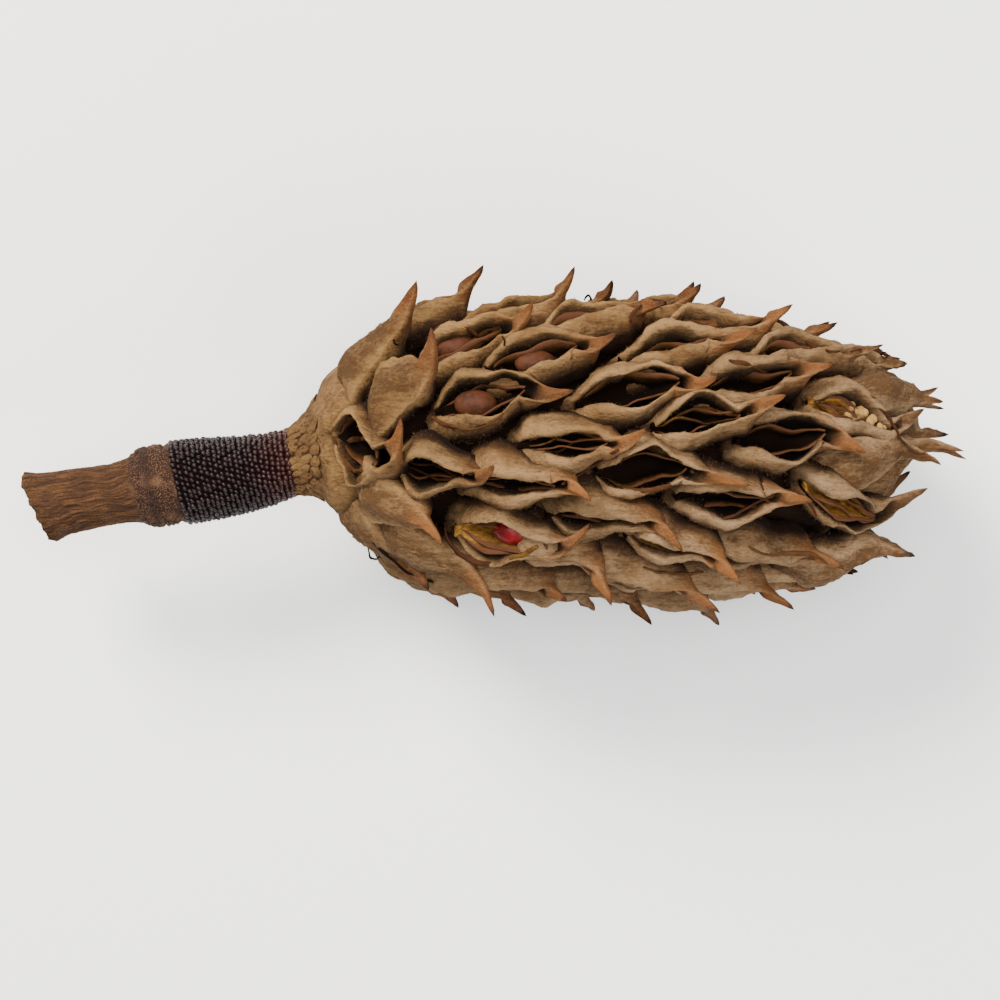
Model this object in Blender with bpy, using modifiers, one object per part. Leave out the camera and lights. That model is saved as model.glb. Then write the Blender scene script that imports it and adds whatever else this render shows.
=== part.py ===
"""A magnolia seed pod, dry and split open, lying on its side as picked.

The pod runs along X, from the cut stalk at -X to the tip at +X, and Z is up from the surface it lies on.
A felted body carries the follicles in a golden-angle spiral. Each follicle is split along its outer seam
and ends in a hooked beak. The stamen-scar collar and the ribbed stalk follow on a slightly bent neck.
"""

import math
import random

import bmesh
import bpy
import numpy as np
from mathutils import Vector

MM = 0.001

# The whole pod
AXIS_HEIGHT = 23.9 * MM

# The pod's middle line seen from above, as (x, y): the stalk leans towards -Y and the tip turns back
MIDDLE_LINE = [
    (-66.0 * MM, -8.7 * MM),
    (-45.0 * MM, -4.9 * MM),
    (-29.0 * MM, -2.3 * MM),
    (-20.0 * MM, 1.2 * MM),
    (-8.0 * MM, 0.7 * MM),
    (15.0 * MM, 0.0 * MM),
    (38.0 * MM, -0.9 * MM),
    (48.0 * MM, -0.6 * MM),
    (57.0 * MM, 1.5 * MM),
    (67.0 * MM, 1.8 * MM),
]

# The body: its outline over the lips of the follicles, as (x, radius)
BODY_OUTLINE = [
    (-27.2 * MM, 4.4 * MM),
    (-25.0 * MM, 5.7 * MM),
    (-21.4 * MM, 12.2 * MM),
    (-12.0 * MM, 18.2 * MM),
    (-3.0 * MM, 20.0 * MM),
    (12.0 * MM, 20.7 * MM),
    (27.0 * MM, 20.4 * MM),
    (40.0 * MM, 18.0 * MM),
    (49.5 * MM, 14.0 * MM),
    (56.0 * MM, 8.0 * MM),
    (59.5 * MM, 0.0 * MM),
]
OUTLINE_SAMPLES = 400
CORE_DEPTH = 2.5 * MM
CORE_NECK_X = -24.6 * MM
CORE_BLEND_X = -18.0 * MM
CORE_SIDES = 14
CORE_RINGS = 10
CORE_END_SHARE = 0.97
CORE_END_RADIUS = 1.0 * MM

# The spiral of follicles
FIRST_FOLLICLE_X = -20.0 * MM
FOLLICLE_CELL = 107.0 * MM * MM
GOLDEN_ANGLE = math.radians(137.508)
FIRST_ANGLE = math.radians(9.0)
RANDOM_START = 4107

# One follicle
HALF_LENGTH = 8.6 * MM
HALF_WIDTH = 4.7 * MM
SIZE_RANGE = (0.96, 1.05)
LIFT_RANGE = (-0.3 * MM, 0.5 * MM)
FOLLICLE_SIDES = 6
SMALL_BODY_RADIUS = 15.0 * MM
END_SHRINK = 0.28
LIP_HEIGHT = 0.5 * MM
SCALE_RISE = 0.9 * MM
FLANK_DEPTH = 1.1 * MM
BOTTOM_DEPTH = 9.0 * MM
PIT_DEPTH = 4.3 * MM
SLIT_DEPTH_SHARE = 0.45
OPENING_LENGTH = 0.72
CREST_SHARE = 0.74
CREST_HEIGHT_SHARE = 0.6
GAPE_RANGE = (0.9 * MM, 1.9 * MM)
WIDE_GAPE = 2.5 * MM
SLIT_GAPE = 0.45 * MM
WIDE_FOLLICLES = (0, 18, 21, 29, 42, 47, 68, 73, 76)
SLIT_FOLLICLES = (1, 2, 3, 5, 6, 8, 34, 39)

# One beak
BEAK_SIDES = 4
BEAK_LENGTH = 6.9 * MM
BEAK_LENGTH_RANGE = (0.78, 1.12)
BEAK_RADIUS = 1.75 * MM
BEAK_FLATTEN = 0.8
BEAK_TAPER = (1.0, 0.72, 0.2)
BEAK_PLACE = 0.70
BEAK_SINK = 1.4 * MM
BEAK_ANGLES = [(-20.0 * MM, 58.0), (15.0 * MM, 44.0), (45.0 * MM, 18.0), (60.0 * MM, 2.0)]
APEX_BEAK_SHARE = 0.78
BEAK_HOOK = 0.1
BEAK_SWAY = 0.22
BEAK_TILT = math.radians(9.0)
BEAK_SLACK = 1.02

# The beaks that can be told apart in the photo, by follicle, with their tips seen from above
BEAK_TIPS = {
    0: (-11.9 * MM, 4.1 * MM),
    2: (-8.5 * MM, -19.0 * MM),
    3: (-10.1 * MM, 22.6 * MM),
    6: (-8.3 * MM, 18.1 * MM),
    5: (-6.6 * MM, -13.0 * MM),
    7: (-4.7 * MM, -22.1 * MM),
    8: (-8.0 * MM, 15.7 * MM),
    10: (0.4 * MM, -22.6 * MM),
    11: (-1.1 * MM, 25.1 * MM),
    13: (0.3 * MM, -2.3 * MM),
    15: (4.8 * MM, -22.8 * MM),
    18: (13.0 * MM, -9.9 * MM),
    19: (3.9 * MM, 20.6 * MM),
    20: (6.5 * MM, -21.8 * MM),
    21: (10.9 * MM, 7.5 * MM),
    23: (10.0 * MM, -20.5 * MM),
    24: (11.3 * MM, 24.8 * MM),
    26: (13.0 * MM, -7.2 * MM),
    28: (14.4 * MM, -22.5 * MM),
    31: (15.9 * MM, -21.1 * MM),
    32: (16.4 * MM, 23.0 * MM),
    34: (20.1 * MM, 2.5 * MM),
    36: (21.8 * MM, -23.9 * MM),
    39: (25.3 * MM, -13.7 * MM),
    40: (20.6 * MM, 22.8 * MM),
    42: (29.8 * MM, 9.7 * MM),
    44: (30.8 * MM, -21.9 * MM),
    45: (28.3 * MM, 22.4 * MM),
    47: (34.1 * MM, -4.8 * MM),
    49: (31.7 * MM, -24.4 * MM),
    52: (33.1 * MM, -18.2 * MM),
    53: (32.6 * MM, 21.5 * MM),
    55: (38.9 * MM, 6.9 * MM),
    57: (41.1 * MM, -21.9 * MM),
    61: (40.3 * MM, 20.1 * MM),
    62: (45.4 * MM, -19.5 * MM),
    66: (47.3 * MM, 17.0 * MM),
    70: (50.1 * MM, -17.5 * MM),
    74: (54.8 * MM, 12.2 * MM),
    75: (55.6 * MM, -16.7 * MM),
    78: (57.7 * MM, -16.3 * MM),
    79: (56.4 * MM, 10.6 * MM),
    81: (60.6 * MM, -3.0 * MM),
    82: (63.3 * MM, 5.0 * MM),
    83: (54.0 * MM, -7.0 * MM),
    86: (64.9 * MM, -1.5 * MM),
    87: (63.3 * MM, 1.8 * MM),
}

# Follicles that sit off the spiral, as (along, across, out)
MOVED_FOLLICLES = {
    18: (4.2 * MM, 1.2 * MM, 0.0 * MM),
    73: (4.5 * MM, -0.8 * MM, 0.0 * MM),
    76: (4.5 * MM, 0.3 * MM, 0.0 * MM),
    75: (0.0 * MM, 0.0 * MM, 1.0 * MM),
    78: (-1.0 * MM, 0.0 * MM, 1.6 * MM),
    83: (-2.0 * MM, 0.0 * MM, -2.2 * MM),
    86: (-1.0 * MM, -1.5 * MM, -1.2 * MM),
}

# The seeds, as (name, follicle, place along, across and out from the lips)
SEED_GAP = 0.35 * MM
SEED_SIDES = 12
SEED_RINGS = 8
SEED_HALF_SIZES = (3.0 * MM, 2.0 * MM, 1.7 * MM)
SEEDS = [
    ("red_seed", 18, (2.4 * MM, 0.2 * MM, -1.9 * MM)),
    ("dried_seed_1", 21, (-1.4 * MM, 0.1 * MM, -2.3 * MM)),
    ("dried_seed_2", 16, (0.0 * MM, -0.1 * MM, -2.4 * MM)),
    ("dried_seed_3", 29, (0.3 * MM, 0.0 * MM, -2.3 * MM)),
]

# The stamen-scar collar, as (x, radius), and its beads
COLLAR_OUTLINE = [
    (-44.9 * MM, 5.65 * MM),
    (-40.0 * MM, 5.6 * MM),
    (-34.0 * MM, 5.2 * MM),
    (-27.5 * MM, 4.5 * MM),
]
COLLAR_SIDES = 30
COLLAR_RINGS = 17
BEAD_HEIGHT = 0.28 * MM

# The stalk with its swollen ring, as (x, radius)
STALK_OUTLINE = [
    (-62.7 * MM, 4.5 * MM),
    (-60.0 * MM, 4.2 * MM),
    (-56.0 * MM, 4.05 * MM),
    (-51.4 * MM, 4.25 * MM),
    (-50.2 * MM, 4.6 * MM),
    (-48.8 * MM, 5.3 * MM),
    (-46.6 * MM, 5.6 * MM),
    (-45.2 * MM, 5.55 * MM),
]
STALK_SIDES = 28
STALK_RINGS = 14
RIB_HEIGHT = 0.16 * MM
RIB_FADE_X = -50.6 * MM
CUT_SLANT = 0.42
CUT_SLANT_REACH = 8.0 * MM

SHORTEST_EDGE = 0.32 * MM
WELD = 0.001 * MM

# The floor cut, which leaves small flat spots on the lowest beaks
FLOOR_BLOCK = (0.3, 0.2, 0.05)

COLOURS = {
    "felt": ((0.36, 0.25, 0.13, 1.0), 0.95),
    "collar": ((0.045, 0.022, 0.024, 1.0), 0.55),
    "stalk": ((0.25, 0.12, 0.045, 1.0), 0.85),
    "red_seed": ((0.42, 0.02, 0.02, 1.0), 0.4),
    "dried_seed": ((0.11, 0.035, 0.015, 1.0), 0.5),
}


def clear_scene():
    for old in list(bpy.data.objects):
        bpy.data.objects.remove(old)


def make_material(name):
    colour, roughness = COLOURS[name]
    material = bpy.data.materials.new(name)
    material.use_nodes = True
    shader = material.node_tree.nodes["Principled BSDF"]
    shader.inputs["Base Color"].default_value = colour
    shader.inputs["Roughness"].default_value = roughness
    shader.inputs["Metallic"].default_value = 0.0
    return material


def smooth_line(points, samples):
    """Places spread evenly along a smooth curve through the given pairs, as two arrays."""
    firsts, seconds = np.array(points).T
    knots = np.concatenate([[0.0], np.cumsum(np.hypot(np.diff(firsts), np.diff(seconds)))])
    places = np.linspace(0.0, knots[-1], samples)
    span = np.clip(np.searchsorted(knots, places, side="right") - 1, 0, len(knots) - 2)
    width = knots[span + 1] - knots[span]
    u = (places - knots[span]) / width
    made = []
    for values in (firsts, seconds):
        slopes = np.gradient(values, knots)
        made.append(
            (2 * u**3 - 3 * u**2 + 1) * values[span]
            + (u**3 - 2 * u**2 + u) * width * slopes[span]
            + (3 * u**2 - 2 * u**3) * values[span + 1]
            + (u**3 - u**2) * width * slopes[span + 1]
        )
    return made


MIDDLE_CURVE = smooth_line(MIDDLE_LINE, OUTLINE_SAMPLES)


class Body:
    """The body's outline, turned about X, with places on it by arc length and angle."""

    def __init__(self):
        self.x, self.r = smooth_line(BODY_OUTLINE, OUTLINE_SAMPLES)
        self.r = np.maximum(self.r, 0.0)
        steps = np.hypot(np.diff(self.x), np.diff(self.r))
        self.arc = np.concatenate([[0.0], np.cumsum(steps)])
        bands = math.pi * (self.r[1:] + self.r[:-1]) * steps
        self.area = np.concatenate([[0.0], np.cumsum(bands)])
        self.along_x = np.gradient(self.x, self.arc)
        self.along_r = np.gradient(self.r, self.arc)
        self.first_area = np.interp(FIRST_FOLLICLE_X, self.x, self.area)
        self.count = int((self.area[-1] - self.first_area) / FOLLICLE_CELL)

    def arc_of_follicle(self, number):
        """Every follicle has an equal share of the surface."""
        return np.interp(self.first_area + (number + 0.5) * FOLLICLE_CELL, self.area, self.arc)

    def radius(self, arc):
        return float(np.interp(arc, self.arc, self.r))

    def directions(self, arc, angle):
        """Along the outline, around X and outwards, as three unit vectors."""
        ax = float(np.interp(arc, self.arc, self.along_x))
        ar = float(np.interp(arc, self.arc, self.along_r))
        long = math.hypot(ax, ar)
        ax, ar = ax / long, ar / long
        along = Vector((ax, ar * math.sin(angle), ar * math.cos(angle)))
        around = Vector((0.0, math.cos(angle), -math.sin(angle)))
        return along, around, along.cross(around)

    def place(self, arc, angle, out):
        """A point over the surface. Past either end the outline runs straight on."""
        inside = min(max(arc, 0.0), float(self.arc[-1]))
        along, _, outwards = self.directions(inside, angle)
        x = float(np.interp(inside, self.arc, self.x))
        r = self.radius(inside)
        on_surface = Vector((x, r * math.sin(angle), r * math.cos(angle)))
        return on_surface + along * (arc - inside) + outwards * out

    def wrap(self, arc, angle, along, across, out):
        """A point of a follicle, from its place along, across and out from the follicle's middle."""
        r = max(self.radius(arc), SMALL_BODY_RADIUS / 2)
        _, around, _ = self.directions(arc, angle)
        return self.place(arc + along, angle, out - across**2 / (2 * r)) + around * across


def follicle_facts(body, number):
    """Size, gape and beak of one follicle. The draws are seeded by its number."""
    draw = random.Random(RANDOM_START + number)
    arc = float(body.arc_of_follicle(number))
    angle = FIRST_ANGLE + number * GOLDEN_ANGLE
    along, across, out = MOVED_FOLLICLES.get(number, (0.0, 0.0, 0.0))
    arc += along
    angle -= across / body.radius(arc)
    end_share = min(1.0, body.radius(arc) / SMALL_BODY_RADIUS)
    size = (1.0 - END_SHRINK * (1.0 - end_share)) * draw.uniform(*SIZE_RANGE)
    longest_beak = BEAK_LENGTH * (APEX_BEAK_SHARE if end_share < 1.0 else 1.0)
    gape = draw.uniform(*GAPE_RANGE)
    if number in WIDE_FOLLICLES:
        gape = WIDE_GAPE
    if number in SLIT_FOLLICLES:
        gape = SLIT_GAPE
    return {
        "arc": arc,
        "angle": angle,
        "length": HALF_LENGTH * size,
        "width": HALF_WIDTH * size,
        "gape": gape * size,
        "depth": PIT_DEPTH * size * min(1.0, SLIT_DEPTH_SHARE + gape / WIDE_GAPE),
        "lift": draw.uniform(*LIFT_RANGE) + out,
        "beak_length": longest_beak * draw.uniform(*BEAK_LENGTH_RANGE),
        "beak_tilt": draw.uniform(-BEAK_TILT, BEAK_TILT),
        "beak_sway": draw.uniform(-BEAK_SWAY, BEAK_SWAY),
    }


def bend(point):
    """Moves a point of the straight pod onto its middle line, over the surface it lies on."""
    aside = float(np.interp(point.x, *MIDDLE_CURVE))
    return Vector((point.x, point.y + aside, point.z + AXIS_HEIGHT))


def object_from(name, mesh_maker, collection):
    """An object whose mesh is what the given bmesh holds."""
    mesh = bpy.data.meshes.new(name)
    mesh_maker.to_mesh(mesh)
    mesh_maker.free()
    made = bpy.data.objects.new(name, mesh)
    collection.objects.link(made)
    return made


def follicle_solid(body, number, collection):
    """A lens-shaped lump with a pit in its outer face, pushed from a small ball with its pole outwards."""
    facts = follicle_facts(body, number)
    work = bmesh.new()
    length, width = facts["length"], facts["width"]
    rings = (
        (0.0, 0.0, -facts["depth"]),
        (OPENING_LENGTH * length, facts["gape"], LIP_HEIGHT),
        (CREST_SHARE * length, CREST_SHARE * width, LIP_HEIGHT * CREST_HEIGHT_SHARE),
        (length, width, -FLANK_DEPTH),
        (0.0, 0.0, -BOTTOM_DEPTH),
    )
    steps = len(rings) - 1
    bmesh.ops.create_uvsphere(work, u_segments=FOLLICLE_SIDES, v_segments=steps, radius=1.0)
    for v in work.verts:
        ring = round(math.acos(max(-1.0, min(1.0, v.co.z))) / math.pi * steps)
        half_long, half_wide, out = rings[ring]
        turn = math.atan2(v.co.y, v.co.x)
        along = half_long * math.cos(turn)
        across = half_wide * math.sin(turn) / math.sin(math.pi / 3)
        if 0 < ring < steps:
            out += SCALE_RISE * along / length + facts["lift"]
        v.co = bend(body.wrap(facts["arc"], facts["angle"], along, across, out))
    return object_from(f"follicle_{number}", work, collection)


def beak_heading(facts, number, root):
    """The way a beak points and how long it is, from the photo where its tip shows there."""
    radial = Vector((0.0, math.sin(facts["angle"]), math.cos(facts["angle"])))
    around = Vector((0.0, math.cos(facts["angle"]), -math.sin(facts["angle"])))
    length = facts["beak_length"]
    if number in BEAK_TIPS:
        seen_root = bend(root)
        reach = Vector(BEAK_TIPS[number]) - seen_root.xy
        length = max(length, reach.length * BEAK_SLACK)
        rise = math.sqrt(length**2 - reach.length**2)
        return Vector((reach.x, reach.y, rise if radial.z > 0.0 else -rise)) / length, length
    spots = [place for place, _ in BEAK_ANGLES]
    steep = math.radians(np.interp(root.x, spots, [lean for _, lean in BEAK_ANGLES])) + facts["beak_tilt"]
    heading = Vector((math.cos(steep), 0.0, 0.0)) + radial * math.sin(steep) + around * facts["beak_sway"]
    return heading.normalized(), length


def beak_solid(body, number, collection):
    """A hooked spike at the follicle's outer end, bent from a cone."""
    facts = follicle_facts(body, number)
    base_arc = facts["arc"] + BEAK_PLACE * facts["length"]
    root = body.place(base_arc, facts["angle"], LIP_HEIGHT + SCALE_RISE * BEAK_PLACE - BEAK_SINK)
    heading, length = beak_heading(facts, number, root)
    around = Vector((0.0, math.cos(facts["angle"]), -math.sin(facts["angle"])))
    around = (around - heading * around.dot(heading)).normalized()
    thick = heading.cross(around)
    work = bmesh.new()
    bmesh.ops.create_cone(work, cap_ends=True, segments=BEAK_SIDES, radius1=1.0, radius2=1.0, depth=1.0)
    everything = work.verts[:] + work.edges[:] + work.faces[:]
    bmesh.ops.bisect_plane(work, geom=everything, plane_co=(0, 0, 0), plane_no=(0, 0, 1))
    for v in work.verts:
        u = v.co.z + 0.5
        hook = thick * (BEAK_HOOK * length * 4.0 * u * (1.0 - u))
        radius = BEAK_RADIUS * float(np.interp(u, (0.0, 0.5, 1.0), BEAK_TAPER))
        section = around * (v.co.x * radius) + thick * (v.co.y * radius * BEAK_FLATTEN)
        v.co = bend(root + heading * (length * u) + hook + section)
    return object_from(f"beak_{number}", work, collection)


def turned_solid(name, outline, sides, rings, relief, collection):
    """An outline of (x, radius) turned about X and closed at both ends, with a relief added to its radius."""
    xs, rs = smooth_line(outline, rings)
    profile = bmesh.new()
    line = [(xs[-1], 0.0), *zip(xs[::-1], rs[::-1]), (xs[0], 0.0)]
    points = [profile.verts.new((x, 0.0, r)) for x, r in line]
    for first, second in zip(points, points[1:]):
        profile.edges.new((first, second))
    turned = object_from(name, profile, collection)
    screw = turned.modifiers.new("turn", "SCREW")
    screw.axis = "X"
    screw.steps = sides
    screw.render_steps = sides
    screw.use_merge_vertices = True
    screw.merge_threshold = WELD
    apply_modifiers(turned)
    for v in turned.data.vertices:
        radius = math.hypot(v.co.y, v.co.z)
        if radius > WELD:
            side = round(math.atan2(v.co.y, v.co.z) / math.tau * sides) % sides
            ring = int(np.argmin(np.hypot(xs - v.co.x, rs - radius)))
            grow = 1.0 + relief(ring, side, v.co.x) / radius
            v.co = bend(Vector((v.co.x, v.co.y * grow, v.co.z * grow)))
        else:
            v.co = bend(v.co)
    return turned


def core_solid(body, collection):
    """The tapering body that the follicles grow from, and the neck that shows below the first ones."""
    last = int(CORE_END_SHARE * (OUTLINE_SAMPLES - 1))
    picks = np.linspace(0, last, CORE_RINGS).astype(int)
    outline = []
    for pick in picks:
        x, r = float(body.x[pick]), float(body.r[pick])
        share = min(1.0, max(0.0, (x - CORE_NECK_X) / (CORE_BLEND_X - CORE_NECK_X)))
        outline.append((x, max(r - CORE_DEPTH * share, CORE_END_RADIUS)))
    return turned_solid("follicle_cone", outline, CORE_SIDES, CORE_RINGS, no_relief, collection)


def apply_modifiers(made):
    graph = bpy.context.evaluated_depsgraph_get()
    fresh = bpy.data.meshes.new_from_object(made.evaluated_get(graph))
    made.modifiers.clear()
    made.data = fresh


def combine(made, others, operation):
    """Joins or cuts an object with everything in a collection, which is used up.

    The exact solver leaves shells here that touch along an edge, so this is a case for the manifold one.
    """
    change = made.modifiers.new(operation.lower(), "BOOLEAN")
    change.operation = operation
    change.operand_type = "COLLECTION"
    change.collection = others
    change.solver = "MANIFOLD"
    apply_modifiers(made)
    for used in list(others.objects):
        bpy.data.objects.remove(used)


def neighbours(v):
    return {edge.other_vert(v) for edge in v.link_edges}


def merge_slivers(work):
    """Closes up the shortest edges that fusing leaves, wherever that keeps the surface whole."""
    bmesh.ops.triangulate(work, faces=work.faces)
    for edge in [e for e in work.edges if e.calc_length() < SHORTEST_EDGE]:
        if not edge.is_valid or edge.calc_length() > SHORTEST_EDGE:
            continue
        first, second = edge.verts
        if len(neighbours(first) & neighbours(second)) == 2:
            middle = (first.co + second.co) / 2
            bmesh.ops.pointmerge(work, verts=[first, second], merge_co=middle)


def keep_outer_skin(made):
    """Drops the scraps and sealed hollows that fusing leaves, and keeps the one outer surface."""
    work = bmesh.new()
    work.from_mesh(made.data)
    merge_slivers(work)
    left = set(work.faces)
    shells = []
    while left:
        shell = set()
        reached = {left.pop()}
        while reached:
            face = reached.pop()
            shell.add(face)
            fresh = {other for edge in face.edges for other in edge.link_faces} & left
            left -= fresh
            reached |= fresh
        shells.append(shell)
    biggest = max(shells, key=len)
    spare = [face for shell in shells if shell is not biggest for face in shell]
    bmesh.ops.delete(work, geom=spare, context="FACES")
    work.to_mesh(made.data)
    work.free()


def seed_solid(body, name, number, place, grow, collection):
    """A plump seed lying along its follicle, or with grow the slightly larger seat it lies in."""
    facts = follicle_facts(body, number)
    work = bmesh.new()
    bmesh.ops.create_uvsphere(work, u_segments=SEED_SIDES, v_segments=SEED_RINGS, radius=1.0)
    along, around, outwards = body.directions(facts["arc"], facts["angle"])
    middle = body.wrap(facts["arc"], facts["angle"], *place)
    long, wide, thick = [half + grow for half in SEED_HALF_SIZES]
    for v in work.verts:
        offset = along * (v.co.x * long) + around * (v.co.y * wide) + outwards * (v.co.z * thick)
        v.co = bend(middle + offset)
    return object_from(name, work, collection)


def floor_cutter(collection):
    work = bmesh.new()
    bmesh.ops.create_cube(work, size=1.0)
    for v in work.verts:
        v.co = Vector((v.co.x * FLOOR_BLOCK[0], v.co.y * FLOOR_BLOCK[1], (v.co.z - 0.5) * FLOOR_BLOCK[2]))
    return object_from("floor_cutter", work, collection)


def no_relief(ring, side, x):
    return 0.0


def bead_relief(ring, side, x):
    """Beads in crossing spiral rows: every second point of the grid stands out."""
    if ring in (0, COLLAR_RINGS - 1):
        return 0.0
    return BEAD_HEIGHT if (ring + side) % 2 == 0 else -BEAD_HEIGHT


def rib_relief(ring, side, x):
    """Lengthwise ribs on the bare stalk, which fade out on the swollen ring."""
    if x > RIB_FADE_X:
        return 0.0
    return RIB_HEIGHT if side % 2 == 0 else -RIB_HEIGHT


def slant_cut_end(stalk):
    """Leans the stalk's cut face, as a single oblique snip leaves it."""
    end_x = STALK_OUTLINE[0][0]
    end_y = bend(Vector((end_x, 0.0, 0.0))).y
    for v in stalk.data.vertices:
        share = max(0.0, 1.0 - (v.co.x - end_x) / CUT_SLANT_REACH)
        v.co.x -= CUT_SLANT * (v.co.y - end_y) * share


def shade(made, material):
    made.data.materials.clear()
    made.data.materials.append(material)
    made.data.shade_flat()


def make_follicle_cone(body, pod, scratch):
    """Core, follicles and beaks fused in one skin, with seats for the seeds and flat spots to lie on."""
    cone = core_solid(body, pod)
    for number in range(body.count):
        follicle_solid(body, number, scratch)
        beak_solid(body, number, scratch)
    combine(cone, scratch, "UNION")
    keep_outer_skin(cone)
    for name, number, place in SEEDS:
        seed_solid(body, f"{name}_seat", number, place, SEED_GAP, scratch)
    floor_cutter(scratch)
    combine(cone, scratch, "DIFFERENCE")
    keep_outer_skin(cone)
    shade(cone, make_material("felt"))


def make_stalk_and_collar(pod):
    collar = turned_solid("stamen_collar", COLLAR_OUTLINE, COLLAR_SIDES, COLLAR_RINGS, bead_relief, pod)
    shade(collar, make_material("collar"))
    stalk = turned_solid("stalk", STALK_OUTLINE, STALK_SIDES, STALK_RINGS, rib_relief, pod)
    slant_cut_end(stalk)
    shade(stalk, make_material("stalk"))


def main():
    clear_scene()
    pod = bpy.data.collections.new("magnolia_seed_pod")
    scratch = bpy.data.collections.new("joined_and_cut")
    for collection in (pod, scratch):
        bpy.context.scene.collection.children.link(collection)
    body = Body()
    make_follicle_cone(body, pod, scratch)
    make_stalk_and_collar(pod)
    dried = make_material("dried_seed")
    for name, number, place in SEEDS:
        seed = seed_solid(body, name, number, place, 0.0, pod)
        shade(seed, make_material("red_seed") if name == "red_seed" else dried)


main()
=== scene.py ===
"""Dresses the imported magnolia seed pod: felted follicles and beaks, linings, seeds, collar, stalk and stage."""

import math
import random

import bmesh
import bpy
import numpy as np
from bpy.props import FloatProperty, FloatVectorProperty, IntProperty, PointerProperty
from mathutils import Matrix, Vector, noise


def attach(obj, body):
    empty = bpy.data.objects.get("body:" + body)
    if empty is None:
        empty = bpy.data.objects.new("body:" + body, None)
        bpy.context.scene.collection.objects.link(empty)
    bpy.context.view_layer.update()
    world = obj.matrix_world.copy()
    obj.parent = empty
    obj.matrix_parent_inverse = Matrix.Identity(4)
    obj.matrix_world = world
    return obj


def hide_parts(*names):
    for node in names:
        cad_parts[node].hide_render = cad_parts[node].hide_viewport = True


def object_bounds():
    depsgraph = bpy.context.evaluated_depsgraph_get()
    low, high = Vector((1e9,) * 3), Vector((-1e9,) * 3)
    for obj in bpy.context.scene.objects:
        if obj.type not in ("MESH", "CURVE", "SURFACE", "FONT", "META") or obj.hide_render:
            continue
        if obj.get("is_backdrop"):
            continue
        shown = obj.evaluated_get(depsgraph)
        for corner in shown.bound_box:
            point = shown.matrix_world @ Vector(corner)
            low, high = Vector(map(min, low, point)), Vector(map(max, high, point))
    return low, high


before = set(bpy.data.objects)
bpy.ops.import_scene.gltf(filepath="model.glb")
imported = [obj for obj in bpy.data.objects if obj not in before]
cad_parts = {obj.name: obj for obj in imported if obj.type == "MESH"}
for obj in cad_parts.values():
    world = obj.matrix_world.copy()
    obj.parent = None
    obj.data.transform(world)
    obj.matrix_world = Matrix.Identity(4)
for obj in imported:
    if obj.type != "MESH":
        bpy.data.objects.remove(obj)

bl_info = {
    "name": "Magnolia Seed Pod",
    "version": (1, 0, 0),
    "blender": (4, 5, 0),
    "location": "3D View > Sidebar > Seed Pod",
    "description": "Models a dry magnolia seed pod with split felted follicles, seeds, collar and stalk",
    "category": "Object",
}

MM = 0.001
CAD_LOW, CAD_HIGH = (np.array(corner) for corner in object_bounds())

# The pod's outline and middle line, as in the solids
AXIS_HEIGHT = 23.9 * MM
MIDDLE_LINE = [
    (-66.0 * MM, -8.7 * MM),
    (-45.0 * MM, -4.9 * MM),
    (-29.0 * MM, -2.3 * MM),
    (-20.0 * MM, 1.2 * MM),
    (-8.0 * MM, 0.7 * MM),
    (15.0 * MM, 0.0 * MM),
    (38.0 * MM, -0.9 * MM),
    (48.0 * MM, -0.6 * MM),
    (57.0 * MM, 1.5 * MM),
    (67.0 * MM, 1.8 * MM),
]
BODY_OUTLINE = [
    (-27.2 * MM, 4.4 * MM),
    (-25.0 * MM, 5.7 * MM),
    (-21.4 * MM, 12.2 * MM),
    (-12.0 * MM, 18.2 * MM),
    (-3.0 * MM, 20.0 * MM),
    (12.0 * MM, 20.7 * MM),
    (27.0 * MM, 20.4 * MM),
    (40.0 * MM, 18.0 * MM),
    (49.5 * MM, 14.0 * MM),
    (56.0 * MM, 8.0 * MM),
    (59.5 * MM, 0.0 * MM),
]
OUTLINE_SAMPLES = 400

# The spiral, the follicles and the beaks, as in the solids
FIRST_FOLLICLE_X = -20.0 * MM
FOLLICLE_CELL = 107.0 * MM * MM
GOLDEN_ANGLE = math.radians(137.508)
FIRST_ANGLE = math.radians(9.0)
RANDOM_START = 4107
SIZE_RANGE = (0.96, 1.05)
LIFT_RANGE = (-0.3 * MM, 0.5 * MM)
SMALL_BODY_RADIUS = 15.0 * MM
END_SHRINK = 0.28
SLIT_DEPTH_SHARE = 0.45
GAPE_RANGE = (0.9 * MM, 1.9 * MM)
WIDE_GAPE = 2.5 * MM
SLIT_GAPE = 0.45 * MM
WIDE_FOLLICLES = (0, 18, 21, 29, 42, 47, 68, 73, 76)
SLIT_FOLLICLES = (1, 2, 3, 5, 6, 8, 34, 39)
BEAK_LENGTH_RANGE = (0.78, 1.12)
BEAK_PLACE = 0.70
BEAK_SINK = 1.4 * MM
BEAK_ANGLES = [(-20.0 * MM, 58.0), (15.0 * MM, 44.0), (45.0 * MM, 18.0), (60.0 * MM, 2.0)]
APEX_BEAK_SHARE = 0.78
BEAK_SWAY = 0.22
BEAK_TILT = math.radians(9.0)
BEAK_SLACK = 1.02
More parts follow.
